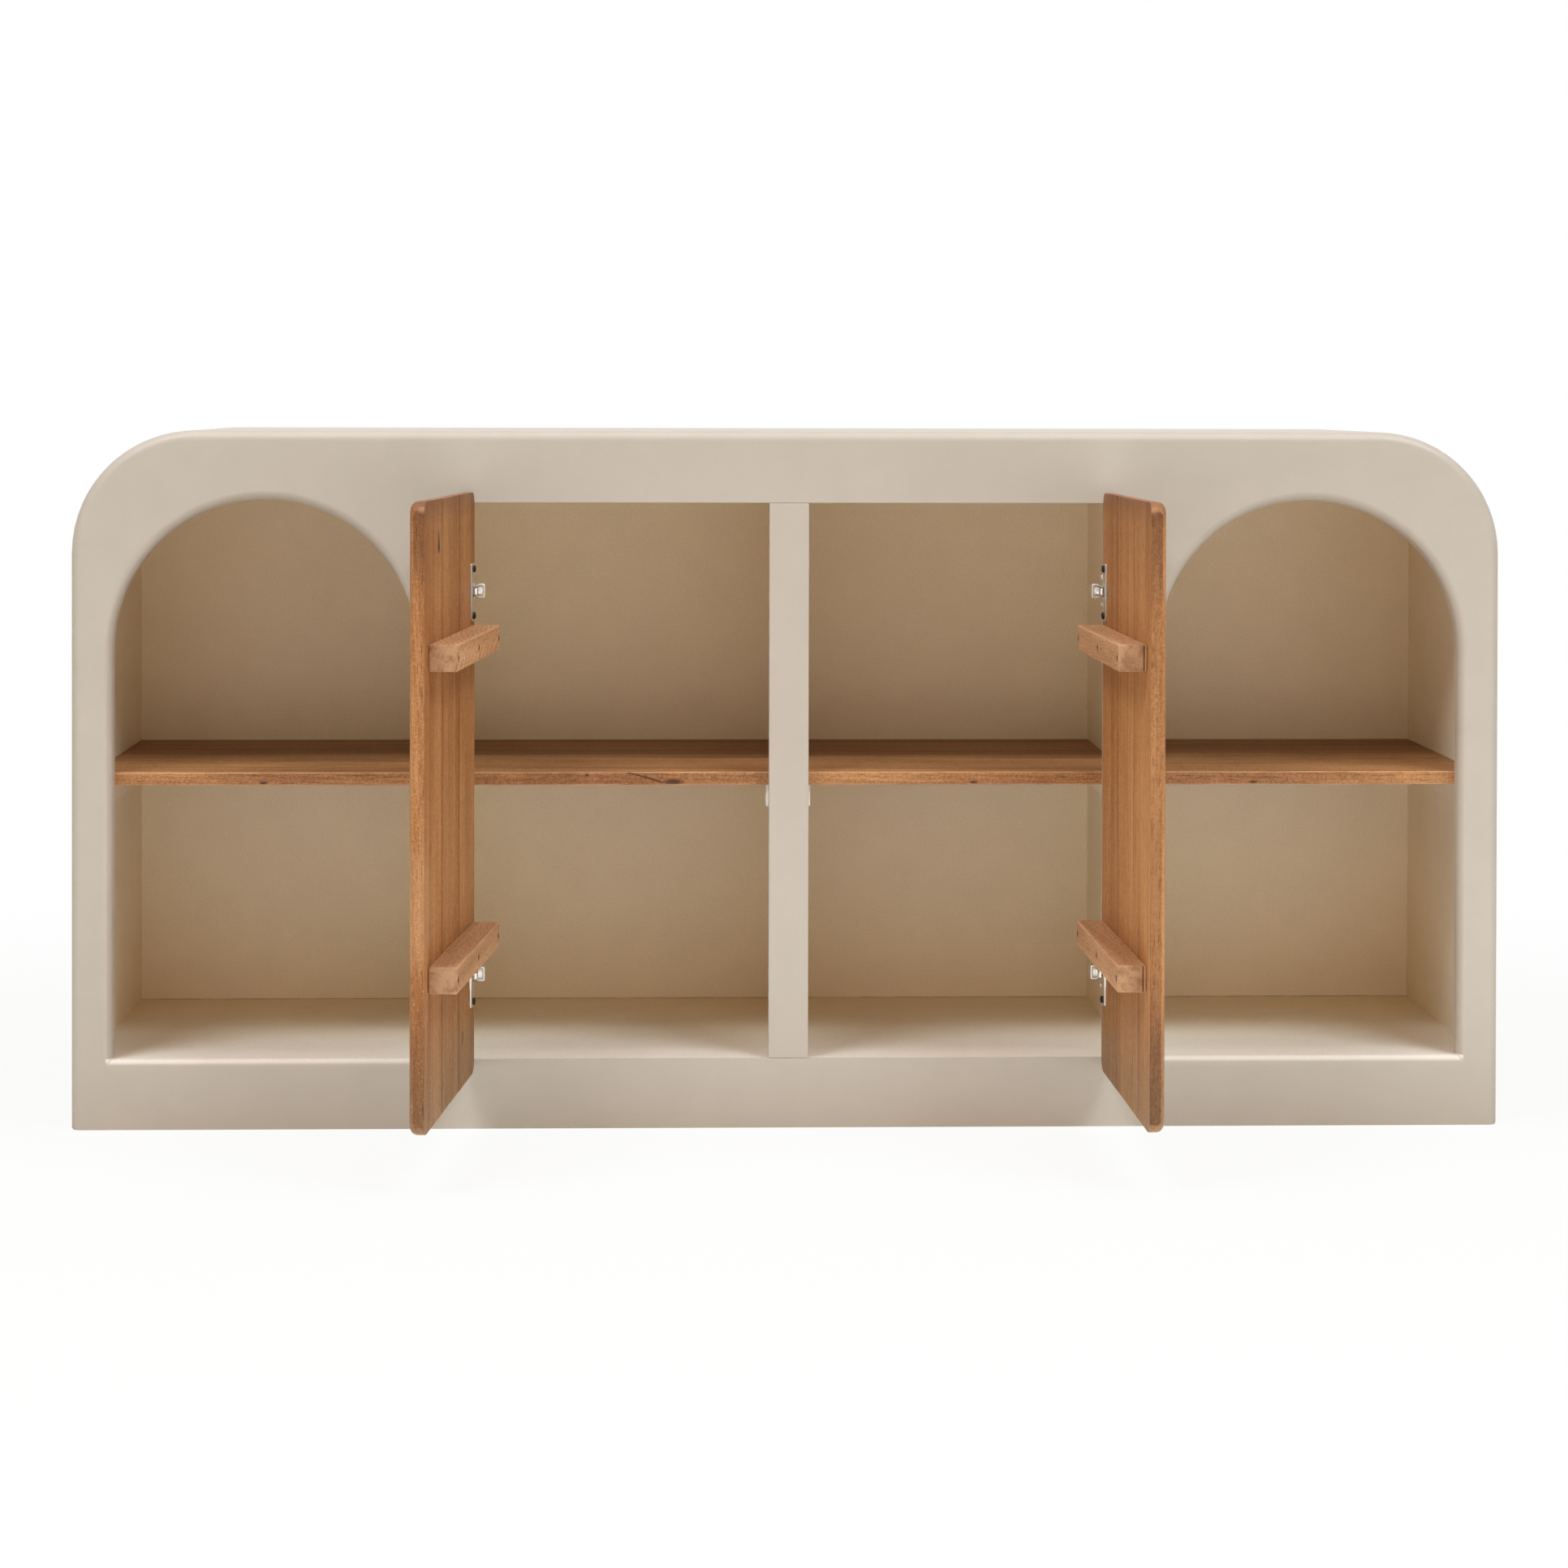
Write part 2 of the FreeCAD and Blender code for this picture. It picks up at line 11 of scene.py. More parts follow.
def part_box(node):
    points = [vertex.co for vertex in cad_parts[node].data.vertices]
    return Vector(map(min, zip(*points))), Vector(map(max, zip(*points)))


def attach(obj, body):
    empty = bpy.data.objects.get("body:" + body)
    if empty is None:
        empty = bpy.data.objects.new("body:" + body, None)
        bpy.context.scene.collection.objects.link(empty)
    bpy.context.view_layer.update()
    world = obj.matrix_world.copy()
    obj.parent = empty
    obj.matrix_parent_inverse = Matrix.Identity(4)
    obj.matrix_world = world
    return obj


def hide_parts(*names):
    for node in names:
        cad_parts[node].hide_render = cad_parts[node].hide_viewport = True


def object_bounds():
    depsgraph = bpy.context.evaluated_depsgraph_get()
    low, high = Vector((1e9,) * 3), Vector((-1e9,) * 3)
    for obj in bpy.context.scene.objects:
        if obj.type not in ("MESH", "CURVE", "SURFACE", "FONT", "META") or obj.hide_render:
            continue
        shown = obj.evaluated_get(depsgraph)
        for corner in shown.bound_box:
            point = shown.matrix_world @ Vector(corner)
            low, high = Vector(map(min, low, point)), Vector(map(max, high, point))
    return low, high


bl_info = {
    "name": "Arched Sideboard",
    "version": (1, 0, 0),
    "blender": (4, 5, 0),
    "location": "3D View > Sidebar > Sideboard",
    "description": "Dresses the packed sideboard in lacquer, oiled wood and nickel, and sets up its studio",
    "category": "Object",
}

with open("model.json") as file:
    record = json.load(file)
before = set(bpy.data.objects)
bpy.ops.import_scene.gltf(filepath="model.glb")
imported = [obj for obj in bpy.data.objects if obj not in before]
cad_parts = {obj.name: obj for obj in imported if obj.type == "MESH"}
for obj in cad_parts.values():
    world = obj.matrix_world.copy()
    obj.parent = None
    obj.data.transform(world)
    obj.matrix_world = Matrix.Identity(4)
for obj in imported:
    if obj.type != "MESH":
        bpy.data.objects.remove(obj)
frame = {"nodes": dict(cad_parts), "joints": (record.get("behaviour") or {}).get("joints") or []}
cad_low, cad_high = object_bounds()

MM = 0.001
QUARTER, FULL = math.pi / 2, 2 * math.pi
SIDES = {"left": -1, "right": 1}
LEVELS = ("upper", "lower")
STAVES = ("meeting", "middle", "hinge")
BAYS = ("left_niche", "left_bay", "right_bay", "right_niche")
PAINTED = ("_panel", "_corner", "_partition", "_rail", "_bearer")
JOINTS = {joint["child"]: joint for joint in frame["joints"]}

# Corners closer than the first merge in a new piece, and closer than the second in a copy of a CAD node.
NEW_MERGE, COPY_MERGE = 0.002 * MM, 0.005 * MM

# Colours that multiply wood where it is darker or greyer: real end grain on the battens, and painted shade
# on the doors and at the rear of the shelves. Then the share of the front tone that each shelf's front edge
# takes, the colour of painted shade on metal, and the colour of the joint lines.
DARKER, GREYER = (0.3, 0.2, 0.12), (0.2, 0.55, 0.75)
FRONT_SHARES = (0.3, 1.0, 0.25, 0.85)
PAINTED_SHADE_TONE = (0.035, 0.028, 0.022)
JOINT_TONE = (0.1, 0.07, 0.05)

# Share and rate of each sine along a shelf's front edge.
SHELF_WAVES = ((1.0, 61), (0.6, 143), (0.4, 290))

# The right door is cut from a slightly paler plank, and its glue lines are cleaner.
DOOR_TINTS = {"left": 1.0, "right": 1.09}
SEAM_TONES = {"left": 1.0, "right": 0.6}
BATTEN_TINTS = {("left", "upper"): 0.96, ("left", "lower"): 0.75,
                ("right", "upper"): 0.86, ("right", "lower"): 0.82}

# The wells over the batten screws, and the marks in radii that the bar's grid takes round each of them.
WELL_RADIUS, WELL_DEPTH = 2.6 * MM, 4.5 * MM
WELL_MARKS = np.array([-2, -1.5, -1.06, -1, -0.66, -0.33, 0, 0.33, 0.66, 1, 1.06, 1.5, 2]) * WELL_RADIUS
BATTEN_SCREW_REACH = 40 * MM

# Each set of screws: the axis it is driven along, the radius and height of a head in millimetres, and the
# reach that takes in the corners of one screw but not of the next.
SHANK_RADIUS = 1.4 * MM
DOOR_SCREWS = {"batten": (1, 2.45, 2.2, BATTEN_SCREW_REACH), "cup": (1, 4.0, 2.8, 16 * MM)}
ROOT_SCREWS = {"hinge_plate_screws": (0, 3.4, 1.6, 16 * MM), "back_panel_screws": (1, 3.5, 1.8, 30 * MM)}

# The front of the hinge arms, a millimetre and a half behind the face of the front frame, and how shaded the
# cups and the recess of the arms are.
ARM_FRONT = -206.5 * MM
CUP_SHADE = {"upper": 0.9, "lower": 0.1}
ARM_SHADE = np.array([0.25, 0.65, 0.4, 0.3])[:, None]

# Each light: the setting that holds its power, its place, what it points at, its size and its tint.
LIGHTS = {
    "left_softbox": ("left_key", (-2.7, -3.0, 5.0), (-0.2, 0, 0.3), (2.4, 1.3), (0.85, 0.92, 1.0)),
    "right_softbox": ("right_key", (2.7, -3.0, 5.0), (0.2, 0, 0.3), (2.4, 1.3), (0.80, 0.91, 1.0)),
    "overhead_softbox": ("overhead", (0, -0.5, 5.5), (0, 0.1, 0.4), (4.0, 1.2), (1.0, 0.9, 0.95)),
    "near_bounce": ("near_board", (0.3, -0.6, 0.002), (0.3001, -0.6, 2.0), (2.2, 0.5), (0.7, 0.9, 1.0)),
    "low_bounce": ("low_board", (0.2, -2.0, 0.3), (0.1, 0, 0.4), (3.0, 0.5), (1.0, 0.85, 0.75)),
}
STUDIO_HALF = 8.0

# The camera's place, its turn to the right, downwards and about its line of sight in degrees, and the shift
# of its lens.
CAMERA_PLACE = (-0.13225, -4.2916, 0.81966)
CAMERA_TURN = (1.7173, 0.6602, 0.1172)
CAMERA_SHIFT = (0.00208, -0.22057)


def linear(red, green, blue):
    """A colour written in the 0 to 255 steps of a screen, as linear shares."""
    screen = np.array([red, green, blue]) / 255
    return tuple(np.where(screen > 0.04045, ((screen + 0.055) / 1.055) ** 2.4, screen / 12.92).tolist())


def colour(title, text, *screen):
    """A setting for a colour."""
    return FloatVectorProperty(name=title, description=text, subtype="COLOR", size=3, min=0, max=1,
                               default=linear(*screen))


def length(title, text, millimetres):
    """A setting for a length."""
    return FloatProperty(name=title, description=text, subtype="DISTANCE", unit="LENGTH", min=0,
                         default=millimetres * MM)


def share(title, text, default, highest=1.0):
    """A setting for a share of one."""
    return FloatProperty(name=title, description=text, subtype="FACTOR", min=0, max=highest, default=default)


def power(title, text, watts):
    """A setting for the power of a light."""
    return FloatProperty(name=title, description=text, subtype="POWER", unit="POWER", min=0, default=watts)


class SideboardPaint(bpy.types.PropertyGroup):
    """Colours and small shapes of the lacquer"""
    outer: colour("Outer paint", "Cream lacquer on everything that faces out", 191, 181, 167)
    # Both inner paints are painted light: far lighter than the outer paint, they stand in for the light
    # inside the carcass, and the back one is warmer as painted shade.
    inner_front: colour("Inner paint, front", "Lacquer on the inner faces near the front", 252, 245, 232)
    inner_back: colour("Inner paint, back", "Lacquer on the inner faces near the back panel", 252, 236, 205)
    roughness: share("Roughness", "Roughness of the satin lacquer", 0.42)
    mottle: share("Mottle", "How much the tone of the lacquer drifts", 0.05)
    peel: length("Orange peel", "Height of the small waves left by the spray gun", 0.05)
    arris: length("Arris", "Rounding of the sharp painted edges", 0.8)
    joint: share("Joint lines", "How dark the fine lines are where walls and floor meet the back panel", 0.5)


class SideboardWood(bpy.types.PropertyGroup):
    """Colours, grain and small shapes of the oiled boards"""
    door_light: colour("Door, light", "Light bands of the door boards", 194, 137, 85)
    door_dark: colour("Door, dark", "Dark bands of the door boards", 154, 96, 49)
    shelf_light: colour("Shelf, light", "Light bands of the shelves", 200, 145, 93)
    shelf_dark: colour("Shelf, dark", "Dark bands of the shelves", 147, 94, 52)
    batten_light: colour("Batten, light", "Light bands of the battens", 224, 171, 126)
    batten_dark: colour("Batten, dark", "Dark bands of the battens", 182, 128, 85)
    # This colour also draws a line of painted shade on the ends of the right battens.
    pore: colour("Pores", "Pores, cracks and knots", 70, 40, 22)
    glue: colour("Glue lines", "Dark lines where the boards of a door are glued", 92, 48, 24)
    # This pale colour serves rubbed wear, and also painted highlight and sheen on the doors' free edges and
    # the right battens.
    rubbed_and_highlight: colour("Rubbed arris", "Edges that hands have rubbed pale", 214, 170, 128)
    ring_spacing: length("Ring spacing", "Distance between growth rings", 5.0)
    end_tone: share("End grain", "How much darker the cut ends of the battens are", 0.72)
    # The whole free edge of each door is darker and greyer by this share.
    edge_tone: share("Free edge tone", "How much darker the free edges of the doors are", 0.08)
    front_tone: share("Shelf front", "How much darker the front edges of the shelves are", 0.3)
    speckle: share("Speckle", "Strength of the fine pale and dark flecks", 0.7)
    roughness: share("Roughness", "Roughness of the oiled surface", 0.5)
    seam: length("Seam", "Small chamfer beside each glued seam of a door", 0.9)
    shelf_arris: length("Shelf arris", "Rounding of the long shelf edges", 1.6)
    batten_arris: length("Batten arris", "Rounding of the batten edges", 2.2)


class SideboardHinges(bpy.types.PropertyGroup):
    """Metal of the hinges and screws"""
    nickel: colour("Nickel", "Plated steel of the cups, arms and plates", 238, 233, 224)
    nickel_roughness: share("Nickel roughness", "Roughness of the plating", 0.36)
    dark: colour("Screws", "Blackened steel of the screws", 44, 38, 33)
    edge: length("Edge", "Rounding of the pressed edges of cups and arms", 0.5)


class SideboardStage(bpy.types.PropertyGroup):
    """Floor, lights and lens of the studio, and the seed of all random draws"""
    floor: colour("Floor", "Pale studio floor", 236, 234, 230)
    left_key: power("Left key", "Soft box high in front on the left", 164)
    right_key: power("Right key", "Soft box high in front on the right", 173)
    overhead: power("Overhead", "Wide soft box above the top", 78)
    near_board: power("Near board", "Light thrown up by the white floor just in front", 2.8)
    low_board: power("Low board", "Light thrown back near the ground", 5.8)
    sky: share("Sky", "Strength of the even light from all around", 0.31, 2.0)
    lens: FloatProperty(name="Lens", description="Focal length", subtype="DISTANCE_CAMERA", unit="CAMERA",
                        default=83.888)
    seed: IntProperty(name="Seed", description="Picks the small turns of screws and the cuts of the boards",
                      default=7)


def smooth_step(low, high, value):
    """0 below low, 1 above high, and three squares less two cubes of the share between."""
    part = np.clip((value - low) / (high - low), 0, 1)
    return part * part * (3 - 2 * part)


def turn_to_rest(side):
    """The matrix that swings a closed right-hand door piece to where that side's door stands at rest."""
    joint = JOINTS[("left" if side < 0 else "right") + "_door"]
    hinge = Vector(joint["pos_m"])
    opening = joint["range_deg"][1] if side < 0 else -joint["range_deg"][0]
    mirror = Matrix.Diagonal((side, 1, 1, 1))
    turn = Matrix.Rotation(math.radians(side * opening), 4, "Z")
    return Matrix.Translation(hinge) @ turn @ Matrix.Translation(-hinge) @ mirror


def moved(points, matrix):
    """Every point of an array, carried by a matrix."""
    carry = np.array(matrix)
    return points @ carry[:3, :3].T + carry[:3, 3]


def node_points(node):
    """The corners of a CAD node, one in each row."""
    mesh = frame["nodes"][node].data
    corners = np.empty(len(mesh.vertices) * 3, np.float32)
    mesh.vertices.foreach_get("co", corners)
    return corners.reshape(-1, 3).astype(float)


def closed_points(node, side):
    """The corners of a door node, swung back to the closed right-hand door."""
    return moved(node_points(node), turn_to_rest(side).inverted())


def closed_box(node, side):
    """The lowest and highest corner of a door node on the closed right-hand door."""
    corners = closed_points(node, side)
    return corners.min(0), corners.max(0)


def solid_groups(points, reach):
    """The corners of a node that holds several small solids, one array for each solid."""
    left = points
    groups = []
    while len(left):
        near = np.linalg.norm(left - left[0], axis=1) < reach
        for _ in range(3):
            near = np.min(np.linalg.norm(left[:, None] - left[near][None], axis=2), 1) < reach
        groups.append(left[near])
        left = left[~near]
    return groups


def grid_faces(rows, columns):
    """Quads between neighbouring points of a grid with that many rows and columns."""
    first = (np.arange(rows - 1)[:, None] * columns + np.arange(columns - 1)[None, :]).reshape(-1, 1)
    return first + np.array([[0, 1, columns + 1, columns]])


def make_piece(name, grids, body, material, replaces, worn=None):
    """One closed mesh from grids of points, merged where they meet, that rides on a body. The worn values,
    one for each point, are kept for its material: wear on the wooden pieces, painted shade on the nickel
    ones."""
    points, quads, count = [], [], 0
    for grid in grids:
        rows, columns = grid.shape[:2]
        points.append(grid.reshape(-1, 3))
        quads.append(grid_faces(rows, columns) + count)
        count += rows * columns
    mesh = bpy.data.meshes.new(name)
    mesh.from_pydata(np.concatenate(points).tolist(), [], np.concatenate(quads).tolist())
    if worn is not None:
        wear = np.concatenate([part.reshape(-1) for part in worn]).astype(np.float32)
        mesh.attributes.new("worn", "FLOAT", "POINT").data.foreach_set("value", wear)
    work = bmesh.new()
    work.from_mesh(mesh)
    bmesh.ops.remove_doubles(work, verts=work.verts, dist=NEW_MERGE)
    bmesh.ops.recalc_face_normals(work, faces=work.faces)
    work.to_mesh(mesh)
    work.free()
    return dress(name, mesh, body, [material], replaces, 35.0)


def dress(name, mesh, body, materials, replaces, sharp_degrees):
    """Shades a finished mesh, links it and ties it to the frame."""
    mesh.shade_smooth()
    mesh.set_sharp_from_angle(angle=math.radians(sharp_degrees))
    mesh.materials.clear()
    for material in materials:
        mesh.materials.append(material)
    piece = bpy.data.objects.new(name, mesh)
    bpy.context.scene.collection.objects.link(piece)
    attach(piece, body)
    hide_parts(*replaces)
    return piece


def softened_copy(node, width, body, materials, chosen=None):
    """A merged copy of a CAD node whose sharp outer edges, or the chosen ones among them, carry a small
    round. The round takes the second material if there are two."""
    mesh = frame["nodes"][node].data.copy()
    for spare in ("custom_normal", "sharp_face", "sharp_edge"):
        if spare in mesh.attributes:
            mesh.attributes.remove(mesh.attributes[spare])
    work = bmesh.new()
    work.from_mesh(mesh)
    bmesh.ops.remove_doubles(work, verts=work.verts, dist=COPY_MERGE)
    bmesh.ops.dissolve_limit(work, angle_limit=math.radians(0.6), verts=work.verts, edges=work.edges)
    sharp = [edge for edge in work.edges
             if edge.is_manifold and edge.is_convex and edge.calc_face_angle() > math.radians(40)
             and (chosen is None or chosen(edge))]
    bmesh.ops.bevel(work, geom=sharp, offset=width, segments=2, profile=0.5, affect="EDGES",
                    clamp_overlap=True, material=1 if len(materials) > 1 else -1)
    work.to_mesh(mesh)
    work.free()
    piece = dress(node + "_soft", mesh, body, materials, [node], 32.0)
    piece.modifiers.new("Flat faces stay flat", "WEIGHTED_NORMAL").keep_sharp = True


def section(half_across, half_up, radius, across_marks, up_marks, arc_steps=5):
    """Points round a rectangle with rounded corners, anticlockwise and closed, and how worn each is.
    The marks are shares from -1 to 1 along the straight runs, and each corner is a quarter of a circle."""
    flat_across, flat_up = half_across - radius, half_up - radius
    arc = np.linspace(0, QUARTER, arc_steps + 1)
    corners = [(1, -1, -QUARTER), (1, 1, 0), (-1, 1, QUARTER), (-1, -1, math.pi)]
    straight = [np.stack([up_marks * 0 + half_across, up_marks * flat_up], 1),
                np.stack([-across_marks * flat_across, across_marks * 0 + half_up], 1),
                np.stack([up_marks * 0 - half_across, -up_marks * flat_up], 1),
                np.stack([across_marks * flat_across, across_marks * 0 - half_up], 1)]
    runs, wear = [], []
    for (side, rise, start), run in zip(corners, straight):
        turn = start + arc
        around = [side * flat_across + radius * np.cos(turn), rise * flat_up + radius * np.sin(turn)]
        runs += [np.stack(around, 1), run[1:-1]]
        wear += [np.sin(2 * arc), np.zeros(len(run) - 2)]
    ring, worn = np.concatenate(runs), np.concatenate(wear)
    return np.concatenate([ring, ring[:1]]), np.concatenate([worn, worn[:1]])


def rounded_bar(low, high, radius, along_marks, across_marks, up_marks):
    """A bar along X whose section is a rounded rectangle in Y and Z and whose ends draw in along a quarter
    circle."""
    half, middle = (high - low) / 2, (high + low) / 2
    turn = np.linspace(0, QUARTER, 5)
    pulled = radius * (1 - np.sin(turn))
    inset = np.concatenate([pulled, np.zeros(len(along_marks) - 2), pulled[::-1]])
    end = radius * (1 - np.cos(turn))
    inner = along_marks[1:-1] * (half[0] - radius)
    place = np.concatenate([-half[0] + end, inner, half[0] - end[::-1]])
    rings, worn = [], []
    for pull in inset:
        left_over = max(radius - pull, 0.02 * MM)
        ring, wear = section(half[1] - pull, half[2] - pull, left_over, across_marks, up_marks)
        rings.append(ring)
        worn.append(wear)
    rings = np.array(rings)
    grid = np.empty(rings.shape[:2] + (3,))
    grid[..., 0] = place[:, None]
    grid[..., 1:] = rings
    worn = np.maximum(np.array(worn), (inset / radius > 0.02)[:, None] * 0.8)
    grid = np.concatenate([grid[:1] * [1, 0, 0], grid, grid[-1:] * [1, 0, 0]])
    return grid + middle, np.concatenate([worn[:1], worn, worn[-1:]])


def marks(spacing, half, extra=()):
    """Shares from -1 to 1 at an even spacing, and more where extra places are given, clear of the even
    ones."""
    even = np.linspace(-1, 1, max(2, int(2 * half / spacing) + 1))
    places = np.asarray(extra, float) / half
    if len(places):
        clear = np.min(np.abs(even[:, None] - places), 1) > 2.7 * MM / half
        even = np.union1d(np.union1d(even[clear], [-1, 1]), places[np.abs(places) < 1])
    return np.unique(np.round(even, 7))


def turned(radii, heights, angle, centre=(0, 0)):
    """A profile turned about Z: a point at each radius and height for every angle. A radius may change with
    the angle."""
    radii = np.reshape(radii, (len(heights), -1))
    return np.stack([centre[0] + radii * np.cos(angle), centre[1] + radii * np.sin(angle),
                     np.asarray(heights)[:, None] + 0 * angle], 2)


def upright(spots, depth, centre=(0, 0)):
    """Places across and up from a centre, put at a depth along Y."""
    return np.stack([centre[0] + spots[:, 0], depth + 0 * spots[:, 0], centre[1] + spots[:, 1]], 1)


def screw_grid(head_radius, head_height, depth, turn):
    """A pan head with a cross recess over a pointed shank: a profile turned about Z, whose top sinks where
    either bar of the cross lies. The head stands on height zero and the shank goes down. The head's height
    falls by a share of the cube of the distance from its middle."""
    top = np.concatenate([np.linspace(0, 0.7, 9), np.linspace(0.8, 1, 4)]) * head_radius
    dome = head_height * (1 - 0.42 * (top / head_radius) ** 3)
    radii = np.concatenate([top, [head_radius, SHANK_RADIUS, SHANK_RADIUS, 0]])
    heights = np.concatenate([dome, [0, 0, -depth + 3 * SHANK_RADIUS, -depth]])
    angle = np.linspace(0, FULL, 41)
    grid = turned(radii, heights, angle + turn)
    along = radii[:, None] * np.abs(np.cos(angle))
    across = radii[:, None] * np.abs(np.sin(angle))
    narrow, reach = 0.16 * head_radius, 0.6 * head_radius
    bars = [(1 - smooth_step(0.7 * narrow, 1.4 * narrow, one)) * (1 - smooth_step(0.85 * reach, reach, other))
            for one, other in ((along, across), (across, along))]
    cross = np.maximum(*bars)
    cross[len(top):] = 0
    grid[..., 2] -= 0.55 * head_height * cross
    return grid


def feed(node, values):
    """Sends values to a node's inputs by name or number: a Varying is linked and anything else is set."""
    for key, value in values.items():
        if isinstance(value, Varying):
            value.tree.links.new(value.socket, node.inputs[key])
        else:
            node.inputs[key].default_value = value


def put(tree, kind, values=None, **attributes):
    """Adds a node and feeds its inputs."""
    node = tree.nodes.new(kind)
    for key, value in attributes.items():
        setattr(node, key, value)
    feed(node, values or {})
    return node


class Varying:
    """A number, place or colour that changes over a surface. A sign between two numbers adds a Math node."""

    def __init__(self, socket):
        self.socket, self.tree = socket, socket.id_data

    def __add__(self, other):
        return calc("ADD", self, other)

    def __sub__(self, other):
        return calc("SUBTRACT", self, other)

    def __rsub__(self, other):
        return calc("SUBTRACT", other, self)

    def __mul__(self, other):
        return calc("MULTIPLY", self, other)

    def __truediv__(self, other):
        return calc("DIVIDE", self, other)

    def __lt__(self, other):
        return calc("LESS_THAN", self, other)

    def __gt__(self, other):
        return calc("GREATER_THAN", self, other)

    def __abs__(self):
        return calc("ABSOLUTE", self)


def made(tree, kind, values=None, output=0, **attributes):
    """Adds a node and gives what comes out of it."""
    return Varying(put(tree, kind, values, **attributes).outputs[output])


def tree_of(*operands):
    """The node tree of the first operand that is a Varying."""
    return next(operand.tree for operand in operands if isinstance(operand, Varying))


def calc(operation, *operands, clamp=False):
    """A Math node's result. Operands are numbers or Varyings."""
    return made(tree_of(*operands), "ShaderNodeMath", dict(enumerate(operands)),
                operation=operation, use_clamp=clamp)


def vector_calc(operation, *operands):
    """A Vector Math node's result."""
    output = "Value" if operation in ("LENGTH", "DOT_PRODUCT") else "Vector"
    return made(tree_of(*operands), "ShaderNodeVectorMath", dict(enumerate(operands)), output,
                operation=operation)


def highest(first, second):
    """The greater of two numbers."""
    return calc("MAXIMUM", first, second)


def axes(place):
    """The X, Y and Z of a place."""
    return [Varying(socket) for socket in put(place.tree, "ShaderNodeSeparateXYZ", {0: place}).outputs]


def joined(*parts):
    """A place from its X, Y and Z."""
    return made(parts[0].tree, "ShaderNodeCombineXYZ", dict(enumerate(parts)))


def ease(value, low, high, start=0.0, end=1.0):
    """A smooth step of the value from low to high, given out from start to end."""
    return made(value.tree, "ShaderNodeMapRange", {"Value": value, "From Min": low, "From Max": high,
                                                   "To Min": start, "To Max": end},
                interpolation_type="SMOOTHSTEP")


def opaque(tone):
    """A colour with its fourth number, if it isn't a Varying."""
    return tone if isinstance(tone, Varying) else (*tone, 1)


def blend(factor, first, second, mode="MIX"):
    """A mix of two colours."""
    values = {0: factor, 6: opaque(first), 7: opaque(second)}
    return made(tree_of(factor, first, second), "ShaderNodeMix", values, 2,
                data_type="RGBA", blend_type=mode, clamp_factor=True)


def noise(place, scale, detail=2.0, roughness=0.5):
    """A noise texture. A scale of three factors stretches it along the axes."""
    if isinstance(scale, tuple):
        place, scale = vector_calc("MULTIPLY", place, scale), 1.0
    return made(place.tree, "ShaderNodeTexNoise", {"Vector": place, "Scale": scale, "Detail": detail,
                                                   "Roughness": roughness})


def bump(height, distance, strength):
    """A normal that follows a height."""
    return made(height.tree, "ShaderNodeBump", {"Height": height, "Distance": distance, "Strength": strength},
                "Normal")


def wear_and_shade_mask(tree):
    """The worn value kept in the mesh: wear on the wood, painted shade on the nickel."""
    return made(tree, "ShaderNodeAttribute", output="Fac", attribute_name="worn")


WHITE = (1.0, 1.0, 1.0, 1.0)
SOCKET_KINDS = {type(None): "NodeSocketVector", tuple: "NodeSocketColor", float: "NodeSocketFloat"}


def new_group(name, inputs, outputs):
    """An empty shader group. A socket is a place if its default is None, a colour if it is four numbers, or
    else a number. It gives the values that come in by name, and the node that takes what goes out."""
    tree = bpy.data.node_groups.new(name, "ShaderNodeTree")
    for side, sockets in (("INPUT", inputs), ("OUTPUT", outputs)):
        for title, default in sockets.items():
            kind = SOCKET_KINDS[type(default)]
            socket = tree.interface.new_socket(name=title, in_out=side, socket_type=kind)
            if default is not None:
                socket.default_value = default
    incoming = tree.nodes.new("NodeGroupInput").outputs
    return {title: Varying(incoming[title]) for title in inputs}, tree.nodes.new("NodeGroupOutput")


def use_group(name, build, place, values):
    """Places a shader group, built at its first use, and gives what comes out of it by name."""
    group = bpy.data.node_groups.get(name)
    if group is None:
        build(name)
        group = bpy.data.node_groups[name]
    node = put(place.tree, "ShaderNodeGroup", {"Position": place, **values}, node_tree=group)
    return {socket.name: Varying(socket) for socket in node.outputs}


